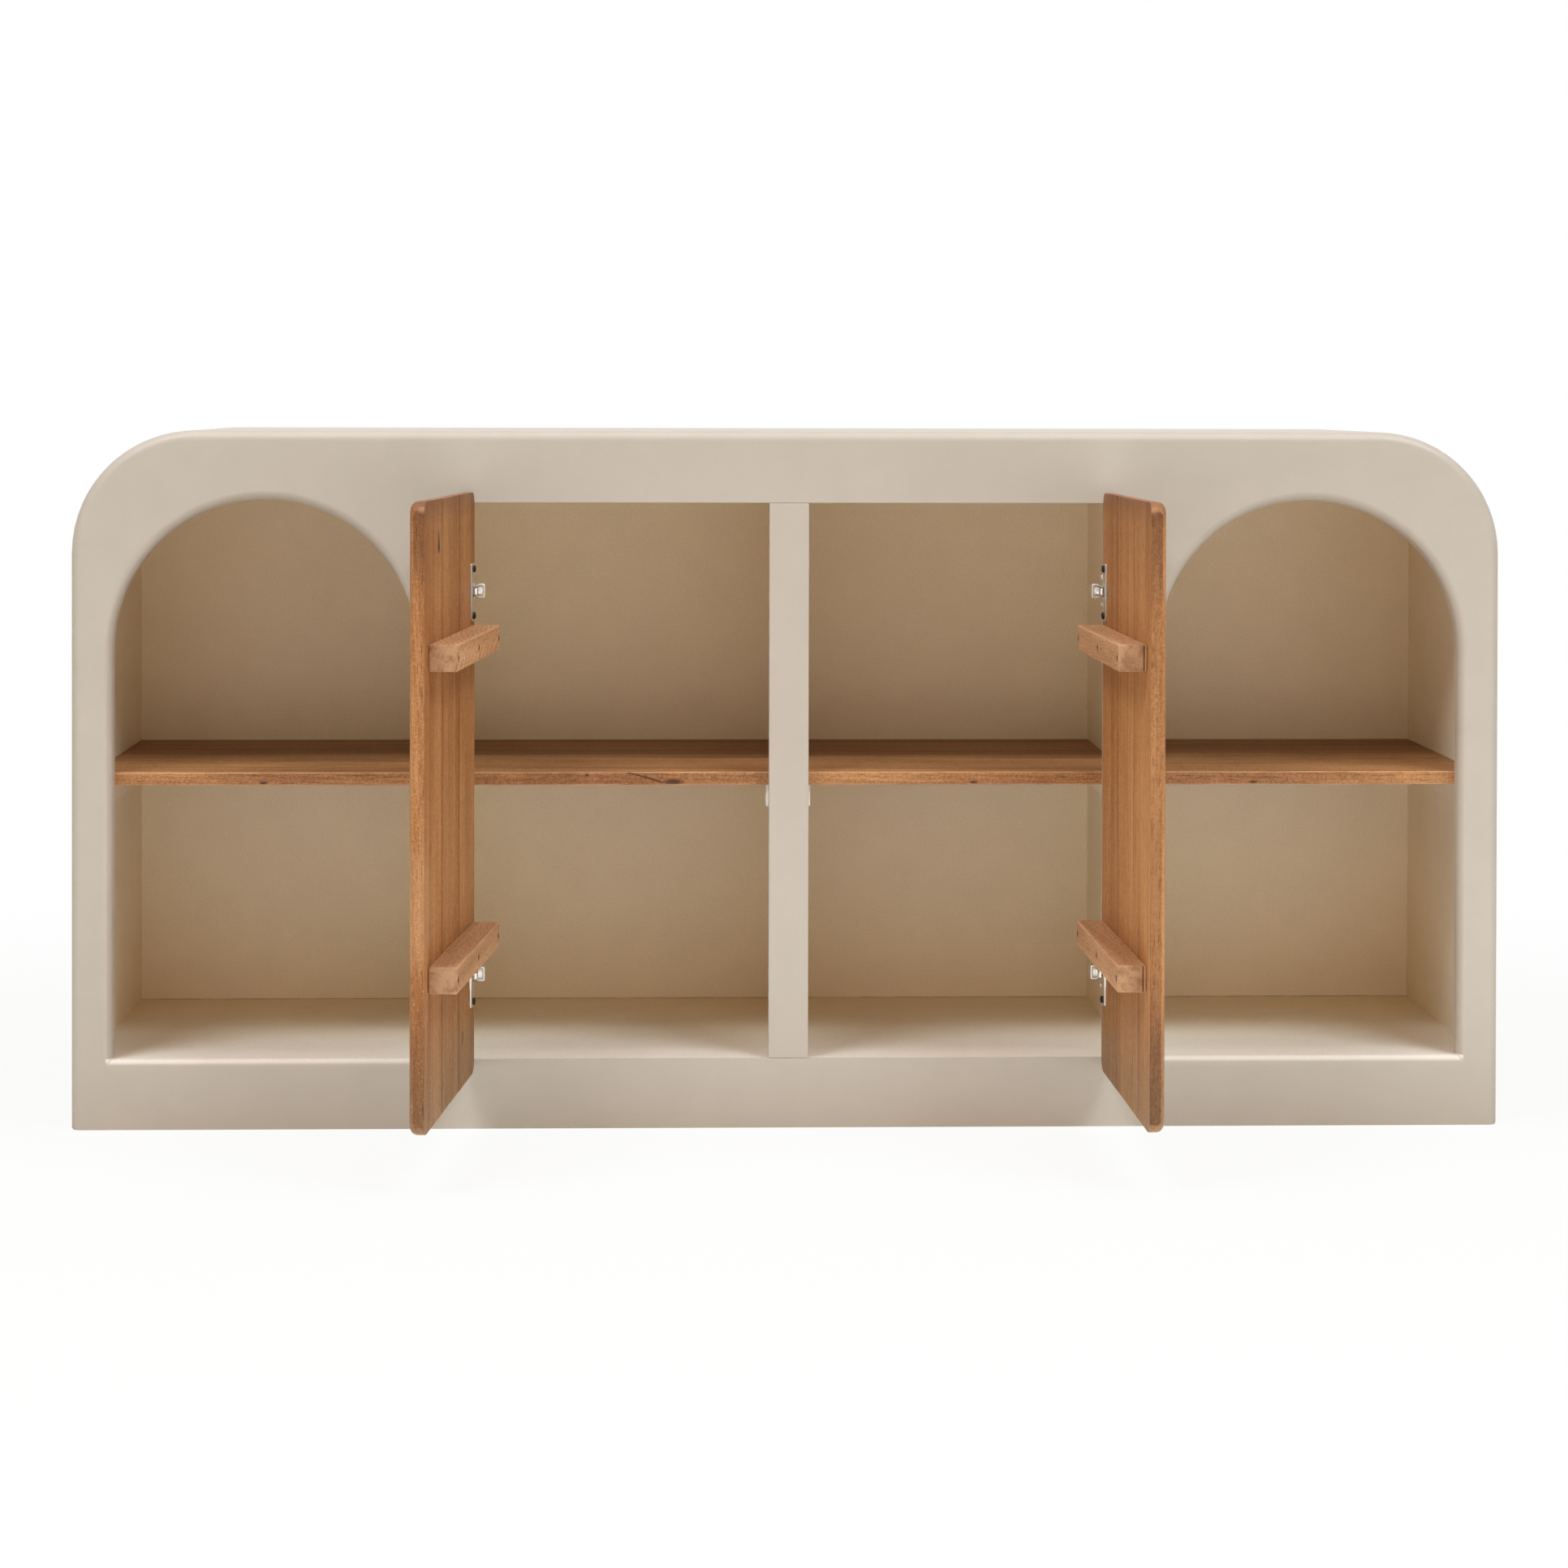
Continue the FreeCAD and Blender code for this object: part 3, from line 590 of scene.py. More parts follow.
def lacquer_group(name):
    """Sprayed lacquer: a drifting tone and orange peel. The inner faces take painted light, a tone far
    lighter than the outer paint that warms towards the back as painted shade. Depth is measured inwards from
    the carcass's outline, whose upper corners are quarter circles."""
    given, result = new_group(
        name,
        {"Position": None, "Outer": WHITE, "Inner Front": WHITE, "Inner Back": WHITE, "Half Width": 0.8,
         "Height": 0.78, "Corner": 0.137, "Face": -0.208, "Front": -0.188, "Back": 0.202, "Floor": 0.078,
         "Wall": 0.010, "Mottle": 0.05},
        {"Color": WHITE, "Peel": 0.0, "Grime": 0.0})
    place = given["Position"]
    x, y, z = axes(place)
    beyond_x = abs(x) - (given["Half Width"] - given["Corner"])
    beyond_z = z - (given["Height"] - given["Corner"])
    corner = vector_calc("LENGTH", joined(highest(beyond_x, 0.0), highest(beyond_z, 0.0)))
    depth = given["Corner"] - (corner + calc("MINIMUM", highest(beyond_x, beyond_z), 0.0))
    behind = y > given["Front"] - 0.001
    before = y < given["Back"] + 0.003
    above = z - given["Floor"]
    sill = ease(above, -6 * MM, -MM) * (above < MM) * ease(y - given["Face"], 0.3 * MM, 1.5 * MM)
    inner = (depth > given["Wall"]) * highest(behind, sill) * before
    # Painted light and shade: the inner tone, warming from front to back.
    inner_painted_light = blend(ease(y, given["Front"], given["Back"]), given["Inner Front"], given["Inner Back"])
    drift = noise(place, 3.1, 3.0, 0.55) - 0.5
    cloud = noise(place, 21.0, 4.0, 0.6) - 0.5
    grain = noise(place, 480.0, 2.0, 0.7) - 0.5
    change = (drift + cloud + grain * (inner * 2.2 + 0.8)) * given["Mottle"] * 2.0 + 1.0
    tone = blend(inner, given["Outer"], inner_painted_light)
    feed(result, {"Color": blend(1.0, tone, joined(change, change, change), "MULTIPLY"),
                  "Peel": noise(place, 1300.0, 1.0) * 0.25 + noise(place, 240.0),
                  "Grime": ease(noise(place, 38.0, 4.0, 0.65), 0.45, 0.75)})


def grain_group(name):
    """Sawn hardwood, with X along the grain: growth rings round a pith, drifting streaks, fibres, pores,
    flecks and a knot that the rings bend round."""
    given, result = new_group(
        name,
        {"Position": None, "Light": WHITE, "Dark": WHITE, "Pore": WHITE, "Pale": WHITE, "Ring Spacing": 0.005,
         "Ring Strength": 0.35, "Tilt": 0.03, "Figure": 0.02, "Speckle": 0.5, "Knot": None,
         "Knot Size": 0.0001},
        {"Color": WHITE, "Pores": 0.0, "Relief": 0.0})
    place, speckle = given["Position"], given["Speckle"]
    x, y, z = axes(place)
    away = vector_calc("MULTIPLY", vector_calc("SUBTRACT", place, given["Knot"]), (0.34, 1.0, 1.0))
    from_knot = vector_calc("LENGTH", away) / given["Knot Size"]
    knot = calc("EXPONENT", from_knot * from_knot * -0.35)
    bend = noise(place, (2.4, 8.0, 8.0)) - 0.5
    radius = bend * given["Figure"] + vector_calc("LENGTH", joined(y, z))
    radius = x * given["Tilt"] + radius + knot * given["Knot Size"] * 1.5
    year = noise(place, (6.0, 90.0, 90.0), 2.0, 0.6) * 0.55 + radius / given["Ring Spacing"]
    part = calc("FRACT", year)
    late = calc("POWER", part, 2.2) * ease(part, 1.0, 0.9)
    streak = noise(place, (2.6, 46.0, 46.0), 3.0, 0.6) - 0.5
    band = noise(place, (0.9, 11.0, 11.0)) - 0.5
    fibre = noise(place, (16.0, 520.0, 520.0), 3.0, 0.65)
    sand = noise(place, (380.0, 300.0, 380.0), 2.0, 0.7) - 0.5
    factor = late * given["Ring Strength"] + streak * 2.1 + band * 2.1 + (fibre - 0.5) * 0.9
    factor = calc("ADD", sand * speckle * 2.9 + factor, 0.38, clamp=True)
    tone = blend(factor, given["Light"], given["Dark"])
    fleck = ease(noise(place, (300.0, 420.0, 420.0), 2.0, 0.6), 0.58, 0.72)
    tone = blend(fleck * speckle * 0.5, tone, given["Pale"])
    pores = ease((1.0 - part) * 0.05 + noise(place, (62.0, 1150.0, 1150.0)), 0.60, 0.70)
    crack = ease(noise(place, (4.2, 150.0, 150.0), 3.0, 0.7), 0.69, 0.76)
    dark = highest(highest(pores * 0.5, crack * 0.55), ease(knot, 0.5, 0.97, 0.0, 0.9))
    feed(result, {"Color": blend(dark, tone, given["Pore"]), "Pores": dark,
                  "Relief": fibre * 0.35 + late * 0.3 - dark * 0.9})


def flaw_group(name):
    """A mark along a short line: full within the reach of the line, which narrows towards its end, with a
    ragged rim."""
    given, result = new_group(
        name, {"Position": None, "Start": None, "End": None, "Reach": 0.001, "Taper": 0.6}, {"Mask": 0.0})
    run = vector_calc("SUBTRACT", given["End"], given["Start"])
    away = vector_calc("SUBTRACT", given["Position"], given["Start"])
    square = highest(vector_calc("DOT_PRODUCT", run, run), 1e-9)
    along = calc("DIVIDE", vector_calc("DOT_PRODUCT", away, run), square, clamp=True)
    nearest = vector_calc("MULTIPLY", run, joined(along, along, along))
    distance = vector_calc("LENGTH", vector_calc("SUBTRACT", away, nearest))
    reach = given["Reach"] * (1.0 - along * given["Taper"])
    ragged = noise(given["Position"], 700.0, 2.0, 0.6) - 0.5
    feed(result, {"Mask": ease(ragged * 0.9 + distance / reach, 1.1, 0.5)})


def new_material(name):
    """A bare material, its Principled shader and the Object coordinate."""
    material = bpy.data.materials.new(name)
    material.use_nodes = True
    tree = material.node_tree
    return material, tree.nodes["Principled BSDF"], made(tree, "ShaderNodeTexCoord", output="Object")


def lacquer(name, walls=(), floor=0.0):
    """Satin cream lacquer for everything painted. Where walls are given, thin dark lines stand at these
    distances to either side, and one lies at the floor's height, on the front of the back panel."""
    paint = bpy.context.scene.sideboard_paint
    material, shader, place = new_material(name)
    sprayed = use_group("Sprayed Lacquer", lacquer_group, place, {
        # The inner paints carry painted light and shade.
        "Outer": opaque(paint.outer), "Inner Front": opaque(paint.inner_front),
        "Inner Back": opaque(paint.inner_back), "Half Width": cad_high.x, "Height": cad_high.z,
        "Corner": cad_high.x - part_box("top_panel")[1].x, "Face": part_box("front_frame")[0].y,
        "Front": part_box("front_frame")[1].y, "Floor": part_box("bottom_panel")[1].z,
        "Back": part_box("back_panel")[0].y, "Mottle": paint.mottle})
    tone = sprayed["Color"]
    if walls:
        x, y, z = axes(place)
        lines = line_at(z, floor)
        for wall in walls:
            lines = highest(lines, line_at(abs(x), wall) * 0.3)
        lines = lines * (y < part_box("back_panel")[0].y + MM)
        broken = ease(noise(place, 30.0, 3.0, 0.6), 0.35, 0.6, 0.5, 1.0)
        tone = blend(lines * broken * paint.joint, tone, JOINT_TONE)
    feed(shader, {"Base Color": tone, "Roughness": sprayed["Grime"] * 0.08 + paint.roughness,
                  "Specular IOR Level": 0.5, "Normal": bump(sprayed["Peel"], paint.peel, 0.5)})
    return material


def line_at(value, middle):
    """One along a thin line where the value is the middle."""
    return ease(abs(value - middle), 1.6 * MM, 0.5 * MM)


def oiled(name, board, tint, matrix, figure=None, rubbed_and_highlight=0.0, seams=(), seam_tone=1.0, flaws=(), darkening_and_shade=()):
    """Oiled hardwood for one board: a door, shelf or batten, whose tones the tint multiplies. The matrix
    carries Object coordinates to the board's own grain, and figure holds values for the grain group. A flaw
    is its start, end, reach, taper, strength and colour. A darkened part is its spans, its strength and the
    colour that multiplies it: real end grain on the battens, and painted shade on the doors and at the rear
    of the shelves. A span is an axis, its ends and how far they fade."""
    wood = bpy.context.scene.sideboard_wood
    material, shader, place = new_material(name)
    spot, turn, _ = matrix.decompose()
    local = made(place.tree, "ShaderNodeMapping",
                 {"Vector": place, "Location": spot, "Rotation": turn.to_euler("XYZ")})
    light, dark = ([channel * tint for channel in getattr(wood, board + end)] for end in ("_light", "_dark"))
    grain = use_group("Sawn Hardwood", grain_group, local, {
        "Light": opaque(light), "Dark": opaque(dark), "Pore": opaque(wood.pore), "Pale": opaque(wood.rubbed_and_highlight),
        "Speckle": wood.speckle, "Ring Spacing": wood.ring_spacing, **(figure or {})})
    tone = grain["Color"]
    parts = axes(local)
    for spans, strength, stain in darkening_and_shade:
        mask = strength
        for axis, *span in spans:
            mask = beyond(parts[axis], *span) * mask
        tone = blend(mask, tone, stain, "MULTIPLY")
    patchy = ease(noise(local, (25.0, 90.0, 90.0), 3.0, 0.6), 0.3, 0.6, 0.2, 0.7)
    tone = blend(highest(wear_and_shade_mask(place.tree), rubbed_and_highlight) * patchy, tone, wood.rubbed_and_highlight)
    for seam in seams:
        tone = blend(seam_mask(local, parts[1], seam) * seam_tone, tone, wood.glue)
    for start, end, reach, taper, strength, stain in flaws:
        mark = use_group("Line Mark", flaw_group, local, {"Start": matrix @ start, "End": matrix @ end,
                                                          "Reach": reach, "Taper": taper})
        tone = blend(mark["Mask"] * strength, tone, stain)
    feed(shader, {"Base Color": tone, "Roughness": grain["Pores"] * 0.25 + wood.roughness,
                  "Specular IOR Level": 0.35, "Normal": bump(grain["Relief"], 0.12 * MM, 0.7)})
    return material


def beyond(part, low, high, fade):
    """One outside the span from low to high, and nothing inside it."""
    return ease(abs(part - (low + high) / 2), (high - low) / 2 - fade, (high - low) / 2 + fade)


def seam_mask(local, across, seam):
    """Dark oil and dust within two millimetres of a seam, measured across the grain, and fainter here and
    there."""
    broken = ease(noise(local, (14.0, 3.0, 3.0), 3.0, 0.7), 0.3, 0.6, 0.4, 1.0)
    return ease(abs(across - seam), 2.6 * MM, 1.2 * MM) * broken


def nickel_finish():
    """Nickel plate with fine rolling lines and a slightly uneven gloss, with painted shade in its hollows."""
    hinges = bpy.context.scene.sideboard_hinges
    material, shader, place = new_material("Nickel Plate")
    lines = noise(place, (900.0, 900.0, 60.0), 3.0, 0.6)
    tone = blend(lines * 0.25, hinges.nickel, [channel * 0.7 for channel in hinges.nickel])
    feed(shader, {"Base Color": blend(wear_and_shade_mask(place.tree), tone, PAINTED_SHADE_TONE), "Metallic": 1.0,
                  "Roughness": noise(place, 130.0) * 0.16 + (hinges.nickel_roughness - 0.08),
                  "Normal": bump(lines, 0.01 * MM, 0.4)})
    return material


def dark_finish():
    """Blackened steel, duller in patches."""
    hinges = bpy.context.scene.sideboard_hinges
    material, shader, place = new_material("Blackened Steel")
    patch = noise(place, 420.0, 3.0, 0.6)
    dusty = [min(1.0, channel * 2.2) for channel in hinges.dark]
    feed(shader, {"Base Color": blend(ease(patch, 0.55, 0.8), hinges.dark, dusty), "Metallic": 0.65,
                  "Roughness": patch * 0.3 + 0.32, "Normal": bump(patch, 0.02 * MM, 0.4)})
    return material


def repaint(node, material):
    """Gives a CAD node that keeps its own shape a new finish."""
    mesh = frame["nodes"][node].data
    mesh.materials.clear()
    mesh.materials.append(material)


def door_matrix(side, grain_rows, shift):
    """Carries Object coordinates to the closed door and then to the grain of one of its boards."""
    back = turn_to_rest(side).inverted()
    if side < 0:
        back = Matrix.Diagonal((-1, 1, 1, 1)) @ back
    return Matrix.Translation(shift) @ Matrix(grain_rows).to_4x4() @ back


class SIDEBOARD_OT_carcass(bpy.types.Operator):
    """Lacquers the carcass, and softens the arrises of the bay, the centre stile and the cleats"""
    bl_idname = "sideboard.carcass"
    bl_label = "Carcass"

    def execute(self, context):
        arris = context.scene.sideboard_paint.arris
        finish = lacquer("Cream Lacquer")
        for name in frame["nodes"]:
            if name.endswith(PAINTED):
                repaint(name, finish)
        walls = [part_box("right_niche_shelf")[number].x for number in (0, 1)]
        walls += [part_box("right_bay_shelf")[number].x for number in (0, 1)]
        repaint("back_panel", lacquer("Cream Lacquer Back", walls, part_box("bottom_panel")[1].z))
        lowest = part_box("centre_stile")[0].z - 15 * MM
        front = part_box("front_frame")[0].y
        reach = -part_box("left_niche_shelf")[1].x

        def on_bay(edge):
            """Whether an edge lies on the front face, round the two door bays."""
            return all(abs(corner.co.y - front) < MM and abs(corner.co.x) < reach and lowest < corner.co.z
                       for corner in edge.verts)

        softened_copy("front_frame", arris, "root", [finish], on_bay)
        softened_copy("centre_stile", arris, "root", [finish])
        for name in [name for name in frame["nodes"] if name.endswith("_cleat")]:
            softened_copy(name, arris, "root", [finish])
        return {"FINISHED"}


class SIDEBOARD_OT_shelves(bpy.types.Operator):
    """Four planed and oiled boards, slightly uneven along the front, in place of the plain shelf nodes"""
    bl_idname = "sideboard.shelves"
    bl_label = "Shelves"

    def execute(self, context):
        wood = context.scene.sideboard_wood
        draw = np.random.default_rng(context.scene.sideboard_stage.seed)
        for number, bay in enumerate(BAYS):
            node = bay + "_shelf"
            low, high = (np.array(corner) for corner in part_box(node))
            half = (high - low) / 2
            grid, worn = rounded_bar(low, high, wood.shelf_arris, marks(8 * MM, half[0]),
                                     marks(16 * MM, half[1]), marks(4 * MM, half[2]))
            plane_unevenly(grid, low, high, draw.uniform(0, FULL, 6))
            pith = (draw.uniform(-0.4, 0.4), draw.uniform(0.02, 0.09), draw.uniform(0.03, 0.07))
            matrix = Matrix.Translation(pith)
            knot_x = draw.uniform(-0.1, 0.12) + (low[0] + high[0]) / 2
            shaken = bay == "left_bay"
            knot = Vector((-129 * MM if shaken else knot_x, low[1], low[2] + (4 if shaken else 3) * MM))
            finish = oiled("Oiled Shelf " + str(number + 1), "shelf", 1.0, matrix,
                           {"Knot": matrix @ knot, "Knot Size": (3.4 if shaken else 1.6) * MM},
                           flaws=shelf_flaws(low, wood.pore) if shaken else (),
                           darkening_and_shade=shelf_darkening_and_shade(low[1] + pith[1], wood.front_tone * FRONT_SHARES[number]))
            make_piece(node + "_board", [grid], "root", finish, [node], worn=[worn])
        return {"FINISHED"}


def plane_unevenly(grid, low, high, phase):
    """Near its front edge a board draws back by a sum of three sines along it. Its upper and lower faces sink
    by one and the product of a sine along it and a sine across it, and less away from the front."""
    along, across, up = grid[..., 0], grid[..., 1], grid[..., 2]
    front = 1 - smooth_step(low[1], low[1] + 8 * MM, across)
    wave = sum(height * np.sin(along * rate + start) for (height, rate), start in zip(SHELF_WAVES, phase))
    across += front * 0.16 * MM * (wave + 2.0)
    plane = np.sin(along * 37 + phase[3]) * np.sin(across * 80 + phase[4])
    up -= np.where(up > (low[2] + high[2]) / 2, 0.08, -0.10) * MM * (1 + plane) * (0.4 + 0.6 * front)


def shelf_darkening_and_shade(front, front_tone):
    """The front edge is darker than the top, and the rear half is darker as painted shade deeper in the bay.
    """
    return [([(1, front + 0.5 * MM, front + 1, 0.3 * MM)], front_tone, DARKER),
            # Painted shade over the rear half of the shelf.
            ([(1, front - 1, front + 160 * MM, 90 * MM)], 0.55, DARKER)]


def shelf_flaws(low, stain):
    """The shake that runs down to the knot in the front of the left bay's shelf, and a pin knot beside it."""
    def at(across, up):
        """A place on the shelf's front face."""
        return Vector((across * MM, low[1], low[2] + up * MM))

    return [(at(-180, 14.0), at(-160, 9.0), 1.1 * MM, 0.1, 0.95, stain),
            (at(-161, 9.3), at(-141, 3.0), 1.3 * MM, 0.2, 0.95, stain),
            (at(-226, 11.5), at(-227, 11.5), 2.0 * MM, 0.2, 0.9, stain)]


class SIDEBOARD_OT_doors(bpy.types.Operator):
    """The three staves of each door, with small chamfers beside the glued seams"""
    bl_idname = "sideboard.doors"
    bl_label = "Doors"

    def execute(self, context):
        wood = context.scene.sideboard_wood
        draw = np.random.default_rng(context.scene.sideboard_stage.seed + 1)
        for side_name, side in SIDES.items():
            body = side_name + "_door"
            for number, stave in enumerate(STAVES):
                node = body + "_" + stave + "_stave"
                low, high = closed_box(node, side)
                pith = (draw.uniform(-0.3, 0.3), draw.uniform(-0.05, 0.05), draw.uniform(0.02, 0.06))
                centre = (low + high) / 2
                shift = (pith[0] - centre[2], pith[1] - side * centre[0], pith[2] - centre[1])
                matrix = door_matrix(side, ((0, 0, 1), (1, 0, 0), (0, 1, 0)), shift)
                ends = [side * low[0] + shift[1], side * high[0] + shift[1]]
                meeting, hinged = stave == STAVES[0], stave == STAVES[2]
                tint = draw.uniform(0.94, 1.06) * DOOR_TINTS[side_name]
                title = "Oiled " + side_name.title() + " Door " + str(number + 1)
                free = sorted([ends[0] + side * 0.9 * MM, ends[0] + side]) if meeting else None
                foot, top = low[2] + shift[0], high[2] + shift[0]
                options = {"seams": ends[1:] if meeting else ends[:1] if hinged else ends,
                           "seam_tone": SEAM_TONES[side_name],
                           "flaws": door_flaws(side, number, low, high),
                           "darkening_and_shade": door_shade_and_edge_tone(side, foot, top, free, wood.edge_tone)}
                finish = oiled(title, "door", tint, matrix, **options)
                worn = oiled(title + " Arris", "door", tint, matrix, rubbed_and_highlight=0.4, **options)
                softened_copy(node, wood.seam, body, [finish, worn])
        return {"FINISHED"}


def door_shade_and_edge_tone(side, foot, top, free, edge_tone):
    """A door is darker at its head and foot, and its free edge more so, as painted shade; at the foot it is
    also greyer, a painted cast of light from the floor. Each span runs along the grain or, for the free edge,
    across it."""
    def below(height, fade):
        """The part of a door under a height above its foot."""
        return (0, foot + height * MM, top + 1, fade * MM)

    def above(height, fade):
        """The part of a door above a height under its top."""
        return (0, foot - 1, top - height * MM, fade * MM)

    # Painted shade at the head, and at the foot painted shade with the grey cast of light from the floor.
    darkening_and_shade = [([above(75, 40)], 0.2, DARKER), ([above(16, 14)], 0.45, DARKER),
            ([below(70, 60)], 0.3, GREYER), ([below(140, 60)], 0.28, DARKER)]
    if free:
        edge = (1, *free, 0.4 * MM)
        darkening_and_shade.append(([edge], edge_tone, GREYER))
        # Painted shade down the free edge, heaviest near its head and foot.
        if side < 0:
            darkening_and_shade += [([edge, above(78, 35)], 0.5, DARKER), ([edge, below(115, 60)], 0.2, DARKER)]
        else:
            darkening_and_shade += [([edge], 0.25, DARKER), ([edge, above(90, 50)], 0.52, DARKER),
                     ([edge, below(340, 60)], 0.28, DARKER), ([edge, below(130, 60)], 0.33, DARKER)]
    return darkening_and_shade


def door_flaws(side, number, low, high):
    """Knots of the left door, the pale top corner of both free edges, which is rubbed wear and a painted
    highlight, and a painted sheen partway up the left door's free edge, all in rest coordinates.
    """
    wood = bpy.context.scene.sideboard_wood
    rest = turn_to_rest(side)

    def at(across, depth, up):
        """A place on the closed right-hand door, under its inner face by the depth, swung to rest."""
        return rest @ Vector((across * MM, high[1] - depth * MM, up * MM))

    flaws = []
    if number == 0:
        free, top = low[0] / MM, high[2] / MM
        # Pale top corner of the free edge: rubbed wear and a painted highlight.
        flaws.append((at(free, 2, top - 8), at(free, 9, top - 2), 5.0 * MM, 0.3, 0.16, wood.rubbed_and_highlight))
        if side < 0:
            flaws.append((at(100, 0, 662), at(99, 0, 675), 8.0 * MM, 0.6, 1.0, wood.pore))
            # Painted sheen: a broad pale patch on the left door's free edge.
            flaws.append((at(free, 8, 300), at(free, 8, 290), 60.0 * MM, 0.0, 0.2, wood.rubbed_and_highlight))
    if number == 2 and side < 0:
        flaws.append((at(277, 0, 122), at(275, 0, 114), 5.0 * MM, 0.2, 0.85, wood.pore))
        flaws.append((at(274, 0, 160), at(276, 0, 80), 1.6 * MM, 0.2, 0.6, wood.pore))
    return flaws


class SIDEBOARD_OT_battens(bpy.types.Operator):
    """The four battens: rounded bars with a round well over each sunk screw"""
    bl_idname = "sideboard.battens"
    bl_label = "Battens"

    def execute(self, context):
        wood = context.scene.sideboard_wood
        draw = np.random.default_rng(context.scene.sideboard_stage.seed + 2)
        for side_name, side in SIDES.items():
            body = side_name + "_door"
            screws = solid_groups(closed_points(body + "_batten_screws", side), BATTEN_SCREW_REACH)
            centres = np.array([(group.min(0) + group.max(0)) / 2 for group in screws])
            for level in LEVELS:
                node = body + "_" + level + "_batten"
                low, high = closed_box(node, side)
                middle, half = (low + high) / 2, (high - low) / 2
                mine = centres[np.abs(centres[:, 2] - middle[2]) < half[2]]
                near_wells = (mine[:, 0, None] - middle[0] + WELL_MARKS).ravel()
                rows = marks(9 * MM, half[0] - wood.batten_arris, near_wells)
                columns = marks(5 * MM, half[2] - wood.batten_arris, WELL_MARKS)
                grid, worn = rounded_bar(low, high, wood.batten_arris, rows, marks(8 * MM, half[1]), columns)
                sink_wells(grid, mine, high[1])
                pith = (draw.uniform(-0.3, 0.3), draw.uniform(0.01, 0.03), draw.uniform(0.02, 0.05))
                shift = (pith[0] - side * middle[0], pith[1] - middle[2], pith[2] + middle[1])
                matrix = door_matrix(side, ((1, 0, 0), (0, 0, 1), (0, -1, 0)), shift)
                ends = sorted([side * low[0] + shift[0], side * high[0] + shift[0]])
                darkening_and_shade = [([(0, ends[0] + 1.2 * MM, ends[1] - 1.2 * MM, 0.6 * MM)], wood.end_tone, DARKER)]
                if (side_name, level) == ("left", "upper"):
                    figure = {"Ring Spacing": 0.88 * wood.ring_spacing, "Tilt": 0.13, "Ring Strength": 1.15,
                              "Figure": 0.03}
                else:
                    figure = {"Ring Spacing": 0.8 * wood.ring_spacing, "Tilt": 0.03, "Ring Strength": 0.4,
                              "Figure": 0.02}
                finish = oiled("Oiled " + side_name.title() + " Batten " + level.title(), "batten",
                               BATTEN_TINTS[side_name, level], matrix, figure,
                               flaws=batten_flaws(side, mine, low, high), darkening_and_shade=darkening_and_shade)
                make_piece(node + "_bar", [moved(grid, turn_to_rest(side))], body, finish,
                           [node], worn=[worn])
        return {"FINISHED"}


def batten_flaws(side, centres, low, high):
    """A dark ring round each well, and on the right door two lines along the lower front corner of the free
    end: a dark line of painted shade where the end looks grooved, and a pale line of painted highlight."""
    wood = bpy.context.scene.sideboard_wood
    rest = turn_to_rest(side)
    flaws = []
    for centre in centres:
        spot = rest @ Vector((centre[0], high[1], centre[2]))
        flaws.append((spot, spot, 5.0 * MM, 0.0, 0.85, wood.pore))
    if side > 0:
        # A dark line of painted shade and a pale line of painted highlight along the free end.
        for off, reach, stain in ((3.6, 1.1, wood.pore), (1.5, 1.1, wood.rubbed_and_highlight)):
            line = [rest @ Vector((low[0], low[1] + off * MM, height)) for height in (low[2], high[2])]
            flaws.append((*line, reach * MM, 0.0, 0.8, stain))
    return flaws


def sink_wells(grid, centres, face):
    """Round wells in the face of a bar at the highest Y. Within a square of half side radius, a point at
    shares p and q of it goes to p times the root of 1 less half q squared, and the same for q, which makes
    the square a disc; out to twice that the move fades; and the disc sinks by the depth."""
    on_face = grid[..., 1] > face - 0.001 * MM
    for centre in centres:
        p = (grid[..., 0] - centre[0]) / WELL_RADIUS
        q = (grid[..., 2] - centre[2]) / WELL_RADIUS
        ring = np.maximum(np.maximum(np.abs(p), np.abs(q)), 1e-9)
        near = on_face & (ring < 2)
        scale = np.maximum(ring, 1)
        round_p = p * np.sqrt(1 - (q / scale) ** 2 / 2)
        round_q = q * np.sqrt(1 - (p / scale) ** 2 / 2)
        fade = np.clip(2 - ring, 0, 1)
        sunk = grid[..., 1] - WELL_DEPTH * np.clip((1.06 - ring) / 0.06, 0, 1)
        grid[..., 0] = np.where(near, centre[0] + WELL_RADIUS * (p + fade * (round_p - p)), grid[..., 0])
        grid[..., 2] = np.where(near, centre[2] + WELL_RADIUS * (q + fade * (round_q - q)), grid[..., 2])
        grid[..., 1] = np.where(near, sunk, grid[..., 1])


